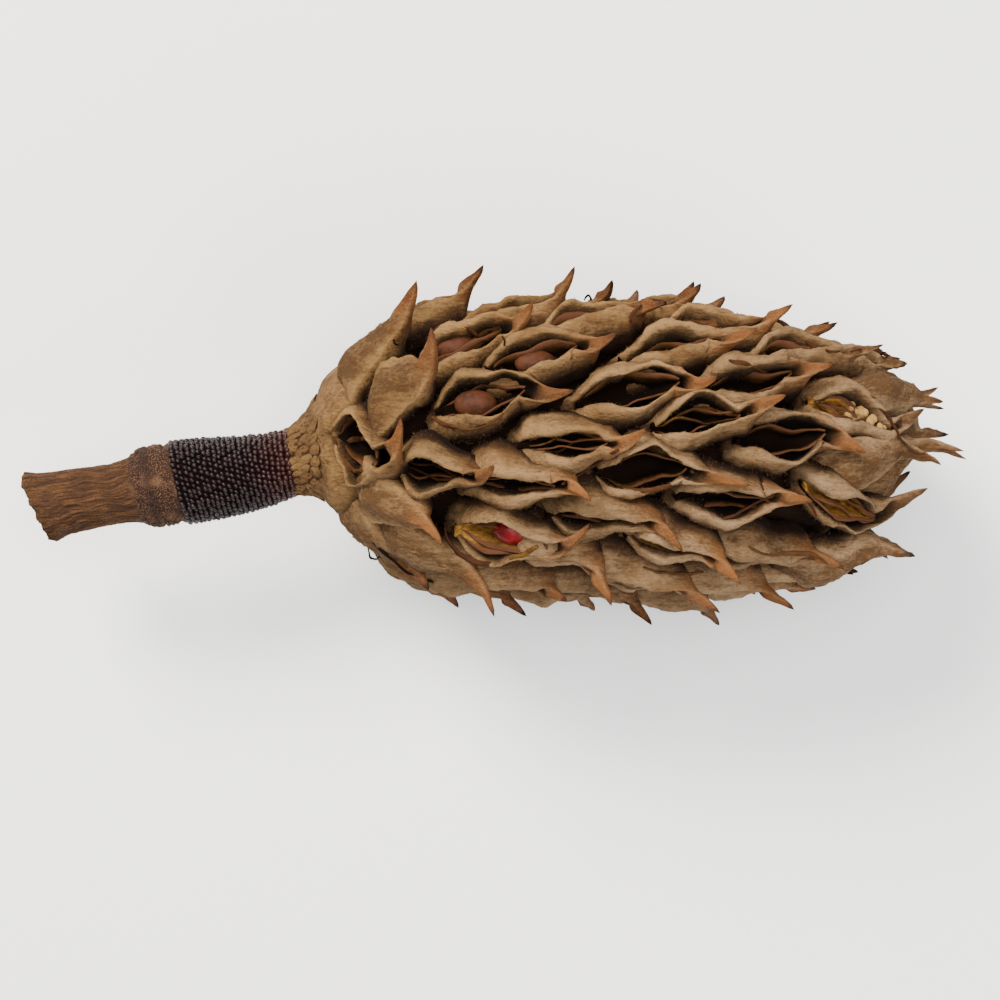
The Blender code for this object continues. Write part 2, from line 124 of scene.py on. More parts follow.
BEAK_TIPS = {
    0: (-11.9 * MM, 4.1 * MM),
    2: (-8.5 * MM, -19.0 * MM),
    3: (-10.1 * MM, 22.6 * MM),
    5: (-6.6 * MM, -13.0 * MM),
    6: (-8.3 * MM, 18.1 * MM),
    7: (-4.7 * MM, -22.1 * MM),
    8: (-8.0 * MM, 15.7 * MM),
    10: (0.4 * MM, -22.6 * MM),
    11: (-1.1 * MM, 25.1 * MM),
    13: (0.3 * MM, -2.3 * MM),
    15: (4.8 * MM, -22.8 * MM),
    18: (13.0 * MM, -9.9 * MM),
    19: (3.9 * MM, 20.6 * MM),
    20: (6.5 * MM, -21.8 * MM),
    21: (10.9 * MM, 7.5 * MM),
    23: (10.0 * MM, -20.5 * MM),
    24: (11.3 * MM, 24.8 * MM),
    26: (13.0 * MM, -7.2 * MM),
    28: (14.4 * MM, -22.5 * MM),
    31: (15.9 * MM, -21.1 * MM),
    32: (16.4 * MM, 23.0 * MM),
    34: (20.1 * MM, 2.5 * MM),
    36: (21.8 * MM, -23.9 * MM),
    39: (25.3 * MM, -13.7 * MM),
    40: (20.6 * MM, 22.8 * MM),
    42: (29.8 * MM, 9.7 * MM),
    44: (30.8 * MM, -21.9 * MM),
    45: (28.3 * MM, 22.4 * MM),
    47: (34.1 * MM, -4.8 * MM),
    49: (31.7 * MM, -24.4 * MM),
    52: (33.1 * MM, -18.2 * MM),
    53: (32.6 * MM, 21.5 * MM),
    55: (38.9 * MM, 6.9 * MM),
    57: (41.1 * MM, -21.9 * MM),
    61: (40.3 * MM, 20.1 * MM),
    62: (45.4 * MM, -19.5 * MM),
    66: (47.3 * MM, 17.0 * MM),
    70: (50.1 * MM, -17.5 * MM),
    74: (54.8 * MM, 12.2 * MM),
    75: (55.6 * MM, -16.7 * MM),
    78: (57.7 * MM, -16.3 * MM),
    79: (56.4 * MM, 10.6 * MM),
    81: (60.6 * MM, -3.0 * MM),
    82: (63.3 * MM, 5.0 * MM),
    83: (54.0 * MM, -7.0 * MM),
    86: (64.9 * MM, -1.5 * MM),
    87: (63.3 * MM, 1.8 * MM),
}
MOVED_FOLLICLES = {
    18: (4.2 * MM, 1.2 * MM, 0.0 * MM),
    73: (4.5 * MM, -0.8 * MM, 0.0 * MM),
    76: (4.5 * MM, 0.3 * MM, 0.0 * MM),
    75: (0.0 * MM, 0.0 * MM, 1.0 * MM),
    78: (-1.0 * MM, 0.0 * MM, 1.6 * MM),
    83: (-2.0 * MM, 0.0 * MM, -2.2 * MM),
    86: (-1.0 * MM, -1.5 * MM, -1.2 * MM),
}

# Follicles that the photo shows clearly and that differ from the rule. Each is moved along the pod and
# across it (to the photo's lower side), then takes the sizes given.
OWN_SHAPES = {
    0: (1.6, 4.1, {"length": 6.6 * MM, "width": 6.0 * MM, "gape": 4.0 * MM, "depth": 6.5 * MM, "skew": -0.3,
                   "leaves_at": 0.5, "lift": -0.2 * MM, "bow": 0.0, "dive": 1.2 * MM}),
    1: (-0.5, 0.0, {"closed": 1.0, "width": 6.0 * MM, "length": 9.4 * MM, "lift": -0.6 * MM, "own": 0.2}),
    2: (0.0, 0.0, {"closed": 1.0, "width": 5.6 * MM, "length": 9.4 * MM, "lift": -1.9 * MM}),
    3: (-0.6, 2.0, {"closed": 1.0, "width": 7.0 * MM, "length": 9.6 * MM, "lift": -1.3 * MM, "skew": 0.1,
                    "own": 0.2, "leaves_at": 0.15, "hook": 0.0}),
    11: (0.0, 0.0, {"leaves_at": 0.2, "hook": 0.0}),
    5: (0.6, 2.4, {"closed": 1.0, "width": 4.3 * MM, "lift": -0.7 * MM, "bow": 0.0, "swing": 0.0}),
    8: (-0.7, 1.6, {"skew": 0.4, "leaves_at": 0.25, "bow": 0.0, "closed": 1.0, "width": 6.2 * MM, "swing": 0.0,
                    "length": 7.8 * MM, "lift": -0.8 * MM, "own": 0.15, "hook": 0.0}),
    7: (0.0, 0.0, {"closed": 1.0}),
    10: (0.0, 0.0, {"closed": 1.0}),
    13: (0.8, 3.4, {"skew": 0.02, "gape": 1.9 * MM}),
    16: (1.6, 1.6, {"gape": 2.0 * MM}),
    18: (1.2, 0.7, {"skew": 0.1, "gape": 2.9 * MM, "bow": 0.3 * MM, "lean": 0.0, "lift": 0.3 * MM, "width": 4.6 * MM}),
    21: (0.0, 0.0, {"gape": 3.0 * MM}),
    26: (0.0, 0.0, {"gape": 1.4 * MM}),
    29: (0.2, 0.2, {"gape": 2.1 * MM}),
    31: (1.4, 0.3, {"gape": 0.5 * MM, "dive": 4.8 * MM}),
    34: (0.3, 1.6, {"gape": 1.2 * MM}),
    37: (0.0, 0.0, {"gape": 1.1 * MM}),
    39: (0.4, 0.6, {"gape": 1.2 * MM}),
    42: (2.4, 1.6, {"gape": 2.4 * MM, "length": 9.6 * MM}),
    50: (1.0, 0.8, {}),
    52: (0.0, 0.0, {"gape": 1.1 * MM}),
    55: (0.6, 0.2, {"gape": 2.0 * MM}),
    63: (1.5, 0.0, {"gape": 1.6 * MM}),
    68: (1.6, -2.6, {"gape": 2.5 * MM}),
    73: (0.6, 0.3, {"gape": 2.5 * MM, "width": 4.8 * MM, "skew": -0.75, "bow": 0.3 * MM, "length": 7.0 * MM,
                    "lift": 0.5 * MM}),
    76: (0.0, 0.9, {"gape": 1.4 * MM, "width": 4.6 * MM, "skew": -0.45, "bow": 1.3 * MM}),
    78: (0.0, 0.0, {"closed": 1.0}),
    81: (0.0, -0.8, {"closed": 1.0, "width": 3.7 * MM, "lift": -0.3 * MM}),
    84: (0.0, 0.0, {"closed": 1.0}),
    86: (0.0, 0.0, {"closed": 1.0}),
}

# Follicles whose linings are golden, and the ones whose beak splits in two at its tip
GOLDEN_LININGS = (18, 65, 73, 76)
SPLIT_BEAKS = (45, 66, 70, 78, 79, 84, 86)
SPLIT = (-0.9 * MM, 1.7 * MM, 0.4 * MM)


def linear(red, green, blue):
    """A colour picked on a screen, as the linear values that Blender wants."""
    shares = (red / 255.0, green / 255.0, blue / 255.0)
    return tuple(c / 12.92 if c <= 0.04045 else ((c + 0.055) / 1.055) ** 2.4 for c in shares)


def length(name, description, default):
    return FloatProperty(name=name, description=description, default=default, min=0.0, unit="LENGTH")


def colour(name, description, default):
    return FloatVectorProperty(
        name=name, description=description, default=default, size=3, min=0.0, max=1.0, subtype="COLOR"
    )


class PodSizes(bpy.types.PropertyGroup):
    half_length: length("Follicle half length", "Half the length of a follicle along the pod", 8.6 * MM)
    half_width: length("Follicle half width", "Half the width of a follicle round the pod", 5.0 * MM)
    lip_height: length("Lip height", "How far the felted lips stand over the outline", 0.5 * MM)
    scale_rise: length("Scale rise", "How far each follicle rises towards its beak", 0.9 * MM)
    dive: length("Dive", "How far a follicle's near end sinks under its neighbours", 3.5 * MM)
    pit_depth: length("Hollow depth", "Depth of an open follicle under its lips", 5.4 * MM)
    beak_length: length("Beak length", "Length of a usual beak", 6.9 * MM)
    wobble: length("Felt wobble", "Unevenness of the dried felt", 0.42 * MM)
    wrinkle: length("Wrinkle height", "Height of the lengthwise wrinkles in the felt", 0.85 * MM)
    fuzz_length: length("Fuzz length", "Length of the felt's loose hairs", 0.48 * MM)
    fuzz_count: IntProperty(name="Fuzz hairs", description="Number of loose hairs", default=110000, min=0)
    bead_size: length("Bead size", "Width of one stamen scar on the collar", 0.74 * MM)
    rib_height: length("Rib height", "Height of the ribs along the stalk", 0.2 * MM)


class PodColours(bpy.types.PropertyGroup):
    # felt_light and felt_dark are the felt's own pale and dark tones, and also carry the painted highlight on the lip
    # crests and the painted shade off them
    felt_light: colour("Light felt", "Felt on the crests of the lips", linear(126, 96, 59))
    felt_dark: colour("Dark felt", "Felt in the creases", linear(70, 49, 29))
    felt_stain: colour("Stained felt", "Olive-brown stains on the felt", linear(80, 52, 23))
    # painted cool light: the felt colour towards the lower right, where the cool lamp falls
    felt_painted_cool_light: colour("Grey felt", "Greyer felt of the shaded side", linear(122, 98, 72))
    # painted shade deep between the follicles
    painted_crease_shade: colour("Crease", "Felt deep between the follicles", linear(26, 12, 5))
    beak: colour("Beak", "Bare rust-brown skin of the beaks", linear(113, 68, 35))
    # beak_dark is partly the beaks' own darker patches and partly painted shade on beaks that do not face up
    beak_dark: colour("Dark beak", "Darker patches on the beaks", linear(72, 39, 21))
    # beak_tip: blackened beak ends; beaks that face up get less of it, as painted light
    beak_tip: colour("Beak tip", "Blackened ends of the beaks", linear(20, 14, 12))
    # painted shade: the near-black of the hollows, the slit seams and the deep parts of the linings
    hollow: colour("Hollow", "Skin deep inside the follicles", linear(13, 5, 2))
    lining: colour("Lining", "Papery lining of a follicle", linear(62, 34, 17))
    # lining_rim: the lining edge's own colour, also used as a painted highlight along the rims
    lining_rim: colour("Lining rim", "Edge of the lining", linear(74, 46, 31))
    gold: colour("Golden lining", "Yellow inner face of some linings", linear(160, 116, 52))
    collar: colour("Collar", "Stamen scars on the collar", linear(27, 12, 14))
    stalk: colour("Stalk", "Bark of the stalk", linear(84, 54, 27))
    ring: colour("Swollen ring", "Petal scars at the top of the stalk", linear(52, 30, 18))
    red_seed: colour("Red seed", "Waxy coat of the fresh seed", linear(120, 6, 12))
    dried_seed: colour("Dried seed", "Coat of the dried seeds", linear(70, 38, 22))
    floor: colour("Floor", "Plain pale floor", linear(252, 252, 251))


def smooth_line(points, samples):
    """Places spread evenly along a smooth curve through the given pairs, as two arrays."""
    firsts, seconds = np.array(points).T
    knots = np.concatenate([[0.0], np.cumsum(np.hypot(np.diff(firsts), np.diff(seconds)))])
    places = np.linspace(0.0, knots[-1], samples)
    span = np.clip(np.searchsorted(knots, places, side="right") - 1, 0, len(knots) - 2)
    width = knots[span + 1] - knots[span]
    u = (places - knots[span]) / width
    made = []
    for values in (firsts, seconds):
        slopes = np.gradient(values, knots)
        made.append(
            (2 * u**3 - 3 * u**2 + 1) * values[span]
            + (u**3 - 2 * u**2 + u) * width * slopes[span]
            + (3 * u**2 - 2 * u**3) * values[span + 1]
            + (u**3 - u**2) * width * slopes[span + 1]
        )
    return made


MIDDLE_CURVE = smooth_line(MIDDLE_LINE, OUTLINE_SAMPLES)


def bend(points):
    """Moves points of the straight pod onto its middle line, over the surface it lies on."""
    moved = np.array(points, dtype=float)
    moved[..., 1] += np.interp(moved[..., 0], *MIDDLE_CURVE)
    moved[..., 2] += AXIS_HEIGHT
    return moved


def smooth_step(low, high, values):
    share = np.clip((values - low) / (high - low), 0.0, 1.0)
    return share * share * (3.0 - 2.0 * share)


class Body:
    """The pod's outline, turned about X, with places on it by arc length and angle."""

    def __init__(self):
        self.x, self.r = smooth_line(BODY_OUTLINE, OUTLINE_SAMPLES)
        self.r = np.maximum(self.r, 0.0)
        steps = np.hypot(np.diff(self.x), np.diff(self.r))
        self.arc = np.concatenate([[0.0], np.cumsum(steps)])
        bands = math.pi * (self.r[1:] + self.r[:-1]) * steps
        self.area = np.concatenate([[0.0], np.cumsum(bands)])
        self.along_x = np.gradient(self.x, self.arc)
        self.along_r = np.gradient(self.r, self.arc)
        self.first_area = np.interp(FIRST_FOLLICLE_X, self.x, self.area)
        self.count = int((self.area[-1] - self.first_area) / FOLLICLE_CELL)

    def arc_of_follicle(self, number):
        """Every follicle has an equal share of the surface."""
        return float(np.interp(self.first_area + (number + 0.5) * FOLLICLE_CELL, self.area, self.arc))

    def radius(self, arc):
        return np.interp(arc, self.arc, self.r)

    def places(self, arcs, angle):
        """Points on the outline with the ways along, around and outwards there, one row for each arc."""
        arcs = np.asarray(arcs, dtype=float)
        inside = np.clip(arcs, 0.0, self.arc[-1])
        ax = np.interp(inside, self.arc, self.along_x)
        ar = np.interp(inside, self.arc, self.along_r)
        size = np.hypot(ax, ar)
        ax, ar = ax / size, ar / size
        sine, cosine = math.sin(angle), math.cos(angle)
        along = np.stack([ax, ar * sine, ar * cosine], axis=-1)
        around = np.broadcast_to(np.array([0.0, cosine, -sine]), along.shape)
        outwards = np.cross(along, around)
        x = np.interp(inside, self.arc, self.x)
        r = self.radius(inside)
        points = np.stack([x, r * sine, r * cosine], axis=-1) + along * (arcs - inside)[..., None]
        return points, along, around, outwards


BODY = Body()


def follicle_facts(number):
    """Size, gape and beak of one follicle. The draws are seeded by its number, as in the solids."""
    sizes = bpy.context.scene.pod_sizes
    draw = random.Random(RANDOM_START + number)
    arc = BODY.arc_of_follicle(number)
    angle = FIRST_ANGLE + number * GOLDEN_ANGLE
    along, across, out = MOVED_FOLLICLES.get(number, (0.0, 0.0, 0.0))
    arc += along
    angle -= across / float(BODY.radius(arc))
    end_share = min(1.0, float(BODY.radius(arc)) / SMALL_BODY_RADIUS)
    size = (1.0 - END_SHRINK * (1.0 - end_share)) * draw.uniform(*SIZE_RANGE)
    longest_beak = sizes.beak_length * (APEX_BEAK_SHARE if end_share < 1.0 else 1.0)
    gape = draw.uniform(*GAPE_RANGE)
    if number in WIDE_FOLLICLES:
        gape = WIDE_GAPE
    if number in SLIT_FOLLICLES:
        gape = SLIT_GAPE
    facts = {
        "number": number,
        "arc": arc,
        "angle": angle,
        "length": sizes.half_length * size,
        "width": sizes.half_width * size,
        "gape": gape * size * 1.12,
        "depth": sizes.pit_depth * size * min(1.0, SLIT_DEPTH_SHARE + gape / WIDE_GAPE),
        "lift": draw.uniform(*LIFT_RANGE) + out,
        "beak_length": longest_beak * draw.uniform(*BEAK_LENGTH_RANGE),
        "beak_tilt": draw.uniform(-BEAK_TILT, BEAK_TILT),
        "beak_sway": draw.uniform(-BEAK_SWAY, BEAK_SWAY),
        "skew": draw.uniform(0.02, 0.2) + SKEW_OUT * math.sin(2.0 * angle),
        "swing": draw.uniform(0.2, 0.65) * MM,
        "phase": draw.uniform(0.0, math.tau),
        "lean": draw.uniform(0.0, 1.0),
        "own": draw.random() + (0.3 if arc > FAR_ARC else 0.0),
        "bow": draw.uniform(0.1, 1.1) * MM,
        "crest": draw.uniform(0.7, 1.5),
        "closed": 0.0,
    }
    facts["lift"] += draw.uniform(-0.5, 0.4) * MM
    facts["hook"] = draw.uniform(-0.2, 0.2)
    facts["tip"] = beak_tip(facts)
    facts["dive"] = NECK_DIVE if facts["arc"] < NECK_ARC else sizes.dive
    facts["seed_arc"], facts["seed_angle"] = facts["arc"], facts["angle"]
    along, across, own = OWN_SHAPES.get(number, (0.0, 0.0, {}))
    facts["arc"] += along * MM
    facts["angle"] -= across * MM / float(BODY.radius(facts["arc"]))
    facts.update(own)
    sunk = float(smooth_step(NECK_ARC, 2.0 * NECK_ARC, facts["arc"]))
    facts["lift"] -= SIDE_SINK * sunk * abs(math.sin(facts["angle"])) ** 3
    facts.setdefault("leaves_at", beak_leaves_at(facts))
    return facts


def beak_tip(facts):
    """The end of a follicle's beak, on the straight pod, where the solids have it."""
    sizes = bpy.context.scene.pod_sizes
    base_arc = facts["arc"] + BEAK_PLACE * facts["length"]
    point, _, around, outwards = BODY.places(base_arc, facts["angle"])
    root = point + outwards * (sizes.lip_height + sizes.scale_rise * BEAK_PLACE - BEAK_SINK)
    radial = np.array([0.0, math.sin(facts["angle"]), math.cos(facts["angle"])])
    reach_length = facts["beak_length"]
    if facts["number"] in BEAK_TIPS:
        reach = np.array(BEAK_TIPS[facts["number"]]) - bend(root)[:2]
        flat = float(np.hypot(*reach))
        reach_length = max(reach_length, flat * BEAK_SLACK)
        rise = math.sqrt(reach_length**2 - flat**2)
        return root + np.array([reach[0], reach[1], rise if radial[2] > 0.0 else -rise])
    spots, leans = np.array(BEAK_ANGLES).T
    steep = math.radians(np.interp(root[0], spots, leans)) + facts["beak_tilt"]
    heading = np.array([math.cos(steep), 0.0, 0.0]) + radial * math.sin(steep) + around * facts["beak_sway"]
    return root + heading / np.linalg.norm(heading) * reach_length


def start_piece():
    """Leaves nothing selected and no edit mode open, so that an operator acts on its own piece alone."""
    if bpy.context.object and bpy.context.object.mode != "OBJECT":
        bpy.ops.object.mode_set(mode="OBJECT")
    bpy.ops.object.select_all(action="DESELECT")


def coordinates(piece):
    flat = np.empty(len(piece.data.vertices) * 3)
    piece.data.vertices.foreach_get("co", flat)
    return flat.reshape(-1, 3)


def set_coordinates(piece, points):
    """Places a piece's vertices, inside the box that the solids fill."""
    kept = np.clip(points, CAD_LOW, CAD_HIGH)
    piece.data.vertices.foreach_set("co", kept.astype(np.float32).ravel())
    piece.data.update()


def add_attribute(piece, name, values):
    layer = piece.data.attributes.new(name, "FLOAT", "POINT")
    layer.data.foreach_set("value", np.asarray(values, dtype=np.float32).ravel())


def apply_modifier(piece, kind, **settings):
    bpy.context.view_layer.objects.active = piece
    modifier = piece.modifiers.new(kind.lower(), kind)
    for name, value in settings.items():
        setattr(modifier, name, value)
    bpy.ops.object.modifier_apply(modifier=modifier.name)


def ball(name, segments, rings):
    """A ball whose poles are the ends of a drawn-out shape, with each vertex's ring and segment."""
    start_piece()
    bpy.ops.mesh.primitive_uv_sphere_add(segments=segments, ring_count=rings, radius=1.0)
    piece = bpy.context.object
    piece.name = name
    piece.data.name = name
    spots = coordinates(piece)
    ring = np.round(np.arccos(np.clip(spots[:, 2], -1.0, 1.0)) / math.pi * rings).astype(int)
    segment = np.round(np.arctan2(spots[:, 1], spots[:, 0]) / math.tau * segments).astype(int) % segments
    segment[(ring == 0) | (ring == rings)] = 0
    return piece, ring, segment


def repeat(piece, count):
    """Copies a modelled shape in place, to be spread out by its own rule."""
    apply_modifier(
        piece,
        "ARRAY",
        count=count,
        use_relative_offset=False,
        use_constant_offset=True,
        constant_offset_displace=(0.0, 0.0, 0.0),
    )


def finish_piece(piece, material, smooth=True):
    """Gives a piece its finish and fixes it to the pod."""
    piece.data.materials.clear()
    piece.data.materials.append(material)
    if smooth:
        piece.data.shade_smooth()
    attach(piece, "root")


def painted_cool_light_side(points):
    """How much painted cool light tints the felt: none at the upper left, as seen from above, and most at the lower
    right.
    """
    return smooth_step(-30.0 * MM, 45.0 * MM, points[:, 0] * 0.7 - points[:, 1] * 1.1)


def uneven(points, size, scale):
    """A wandering offset for each point, the same on every run."""
    return np.array([noise.noise_vector(Vector(p) / scale) for p in points]) * size


def wrinkles(points, size, scale):
    """Sharp-crested wrinkles that run along the pod and stand out from its axis."""
    spots = points * np.array([0.38, 1.0, 1.0]) / scale
    ridge = 0.35 - np.abs(np.array([noise.noise(Vector(p)) for p in spots]))
    outwards = points * np.array([0.0, 1.0, 1.0])
    outwards /= np.linalg.norm(outwards, axis=1)[:, None] + 1.0e-6
    return outwards * (ridge * size)[:, None]


# Shared shader groups


def new_group(name, inputs, outputs):
    group = bpy.data.node_groups.new(name, "ShaderNodeTree")
    for socket, kind, value in inputs:
        made = group.interface.new_socket(socket, in_out="INPUT", socket_type=kind)
        if value is not None:
            made.default_value = value
    for socket, kind in outputs:
        group.interface.new_socket(socket, in_out="OUTPUT", socket_type=kind)
    return group, group.nodes.new("NodeGroupInput"), group.nodes.new("NodeGroupOutput")


def node(tree, kind, **settings):
    made = tree.nodes.new(kind)
    for name, value in settings.items():
        if name in made.inputs:
            made.inputs[name].default_value = value
        else:
            setattr(made, name, value)
    return made


def link(tree, source, target):
    tree.links.new(source, target)


def mix_colours(tree, share, first, second, blend="MIX"):
    """A colour mix whose share and colours are sockets or plain values."""
    made = node(tree, "ShaderNodeMix", data_type="RGBA", blend_type=blend)
    for socket, value in ((made.inputs[0], share), (made.inputs[6], first), (made.inputs[7], second)):
        if isinstance(value, bpy.types.NodeSocket):
            link(tree, value, socket)
        elif isinstance(value, float):
            socket.default_value = value
        else:
            socket.default_value = (*value[:3], 1.0)
    return made.outputs[2]


def maths(tree, operation, first, second=0.0, third=0.0):
    made = node(tree, "ShaderNodeMath", operation=operation)
    for socket, value in zip(made.inputs, (first, second, third)):
        if isinstance(value, bpy.types.NodeSocket):
            link(tree, value, socket)
        else:
            socket.default_value = value
    return made.outputs[0]


def ramp(tree, source, low, high):
    """A smooth share that runs from 0 at low to 1 at high."""
    made = node(tree, "ShaderNodeMapRange", interpolation_type="SMOOTHSTEP")
    made.inputs["From Min"].default_value = low
    made.inputs["From Max"].default_value = high
    link(tree, source, made.inputs["Value"])
    return made.outputs["Result"]


def attribute(tree, name):
    return node(tree, "ShaderNodeAttribute", attribute_name=name).outputs["Fac"]


def noise_at(tree, place, scale, detail=3.0, roughness=0.6):
    made = node(tree, "ShaderNodeTexNoise", Scale=scale, Detail=detail, Roughness=roughness)
    link(tree, place, made.inputs["Vector"])
    return made.outputs["Fac"]


def mottle_group():
    """Patchy colour and matted height, for felt, lining and crumbs alike."""
    group, inner, outer = new_group(
        "Mottled surface",
        [
            ("Light", "NodeSocketColor", None),
            ("Dark", "NodeSocketColor", None),
            ("Patch scale", "NodeSocketFloat", 300.0),
            ("Grain scale", "NodeSocketFloat", 2600.0),
            ("Lift", "NodeSocketFloat", 0.0),
        ],
        [("Colour", "NodeSocketColor"), ("Height", "NodeSocketFloat"), ("Patch", "NodeSocketFloat")],
    )
    stretch = node(group, "ShaderNodeMapping")
    stretch.inputs["Scale"].default_value = (0.5, 1.0, 1.0)
    link(group, node(group, "ShaderNodeTexCoord").outputs["Object"], stretch.inputs["Vector"])
    place = stretch.outputs["Vector"]
    patch = node(group, "ShaderNodeTexNoise", Detail=4.0, Roughness=0.62)
    grain = node(group, "ShaderNodeTexNoise", Detail=3.0, Roughness=0.7)
    link(group, place, patch.inputs["Vector"])
    link(group, place, grain.inputs["Vector"])
    link(group, inner.outputs["Patch scale"], patch.inputs["Scale"])
    link(group, inner.outputs["Grain scale"], grain.inputs["Scale"])
    patches = ramp(group, patch.outputs["Fac"], 0.28, 0.74)
    share = maths(group, "MULTIPLY_ADD", grain.outputs["Fac"], 1.6, -0.8)
    share = maths(group, "ADD", share, maths(group, "MULTIPLY_ADD", patches, 0.7, 0.15))
    combed = node(group, "ShaderNodeMapping")
    combed.inputs["Scale"].default_value = (0.2, 1.0, 1.0)
    link(group, place, combed.inputs["Vector"])
    fibres = noise_at(group, combed.outputs["Vector"], 1500.0, detail=4.0, roughness=0.7)
    share = maths(group, "ADD", share, maths(group, "MULTIPLY_ADD", fibres, 1.7, -0.85))
    share = maths(group, "ADD", share, inner.outputs["Lift"])
    limit = node(group, "ShaderNodeClamp")
    link(group, share, limit.inputs["Value"])
    colours = mix_colours(group, limit.outputs[0], inner.outputs["Dark"], inner.outputs["Light"])
    link(group, colours, outer.inputs["Colour"])
    height = maths(group, "MULTIPLY_ADD", patch.outputs["Fac"], 0.4, grain.outputs["Fac"])
    height = maths(group, "MULTIPLY_ADD", fibres, 0.9, height)
    link(group, height, outer.inputs["Height"])
    link(group, patches, outer.inputs["Patch"])
    return group


def speckle_group():
    """Fine dark and pale specks, for beaks, the swollen ring and the neck."""
    group, inner, outer = new_group(
        "Fine specks",
        [
            ("Colour", "NodeSocketColor", None),
            ("Speck", "NodeSocketColor", None),
            ("Scale", "NodeSocketFloat", 3200.0),
            ("Amount", "NodeSocketFloat", 0.5),
        ],
        [("Colour", "NodeSocketColor"), ("Mask", "NodeSocketFloat")],
    )
    place = node(group, "ShaderNodeTexCoord").outputs["Object"]
    cells = node(group, "ShaderNodeTexVoronoi", feature="F1")
    link(group, place, cells.inputs["Vector"])
    link(group, inner.outputs["Scale"], cells.inputs["Scale"])
    spots = ramp(group, cells.outputs["Distance"], 0.42, 0.18)
    mask = maths(group, "MULTIPLY", spots, inner.outputs["Amount"])
    colours = mix_colours(group, mask, inner.outputs["Colour"], inner.outputs["Speck"])
    link(group, colours, outer.inputs["Colour"])
    link(group, mask, outer.inputs["Mask"])
    return group


def shared_group(name, maker):
    return bpy.data.node_groups.get(name) or maker()


def use_group(tree, name, maker, **values):
    made = node(tree, "ShaderNodeGroup", node_tree=shared_group(name, maker))
    for socket, value in values.items():
        target = made.inputs[socket.replace("_", " ")]
        if isinstance(value, bpy.types.NodeSocket):
            link(tree, value, target)
        elif isinstance(value, float):
            target.default_value = value
        else:
            target.default_value = (*value[:3], 1.0)
    return made


def new_material(name, roughness, shine=0.5):
    material = bpy.data.materials.new(name)
    material.use_nodes = True
    tree = material.node_tree
    shader = tree.nodes["Principled BSDF"]
    shader.inputs["Roughness"].default_value = roughness
    shader.inputs["Specular IOR Level"].default_value = shine
    return material, tree, shader


def add_bump(tree, shader, height, strength, distance):
    bump = node(tree, "ShaderNodeBump", Strength=strength, Distance=distance)
    link(tree, height, bump.inputs["Height"])
    link(tree, bump.outputs["Normal"], shader.inputs["Normal"])


def felt_material():
    """Matted tan felt with stains, painted shade in the creases and hollows and a painted highlight on the lip crests,
    baring rust-brown beaks with black tips.
    """
    colours = bpy.context.scene.pod_colours
    material, tree, shader = new_material("matted_felt", 0.95, shine=0.12)
    # painted highlight: the lip crests lean to the light felt, the rest to the dark felt as painted shade
    crest = maths(tree, "MULTIPLY_ADD", attribute(tree, "crest"), 0.85, -0.36)
    mottle = use_group(
        tree,
        "Mottled surface",
        mottle_group,
        # painted cool light: the light felt turns greyer towards the lower right
        Light=mix_colours(tree, attribute(tree, "painted_cool_light"), colours.felt_light, colours.felt_painted_cool_light),
        Dark=colours.felt_dark,
        Patch_scale=330.0,
        Grain_scale=2900.0,
        Lift=crest,
    )
    place = node(tree, "ShaderNodeTexCoord").outputs["Object"]
    stains = ramp(tree, noise_at(tree, place, 190.0, detail=5.0), 0.4, 0.8)
    stains = maths(tree, "MULTIPLY", stains, 0.65)
    shown = mix_colours(tree, stains, mottle.outputs["Colour"], colours.felt_stain)
    own = maths(tree, "MULTIPLY_ADD", attribute(tree, "own"), 0.34, 0.8)
    tone = node(tree, "ShaderNodeHueSaturation")
    link(tree, shown, tone.inputs["Color"])
    link(tree, own, tone.inputs["Value"])
    shown = tone.outputs["Color"]
    ragged = maths(tree, "MULTIPLY_ADD", noise_at(tree, place, 700.0, detail=5.0, roughness=0.7), 1.5, -0.85)
    beak = maths(tree, "ADD", attribute(tree, "beak"), ragged)
    rust = maths(tree, "MULTIPLY_ADD", noise_at(tree, place, 420.0), 1.2, -0.45)
    # the rust share is partly random and partly painted light, more on beaks that face up
    rust = maths(tree, "ADD", rust, attribute(tree, "rust"))
    skin = use_group(
        tree,
        "Fine specks",
        speckle_group,
        Colour=mix_colours(tree, ramp(tree, rust, 0.1, 1.1), colours.beak_dark, colours.beak),
        Speck=colours.felt_light,
        Scale=3300.0,
        Amount=0.4,
    )
    bare = maths(tree, "MULTIPLY", ramp(tree, beak, 0.0, 0.85), 0.85)
    shown = mix_colours(tree, bare, shown, skin.outputs["Colour"])
    # painted shade in the creases
    shown = mix_colours(tree, attribute(tree, "painted_crease_shade"), shown, colours.painted_crease_shade)
    shown = mix_colours(tree, attribute(tree, "tip"), shown, colours.beak_tip)
    # painted shade: hollows and slit seams in near-black
    shown = mix_colours(tree, attribute(tree, "hollow"), shown, colours.hollow)
    link(tree, shown, shader.inputs["Base Color"])
    add_bump(tree, shader, mottle.outputs["Height"], 0.8, 0.0004)
    return material


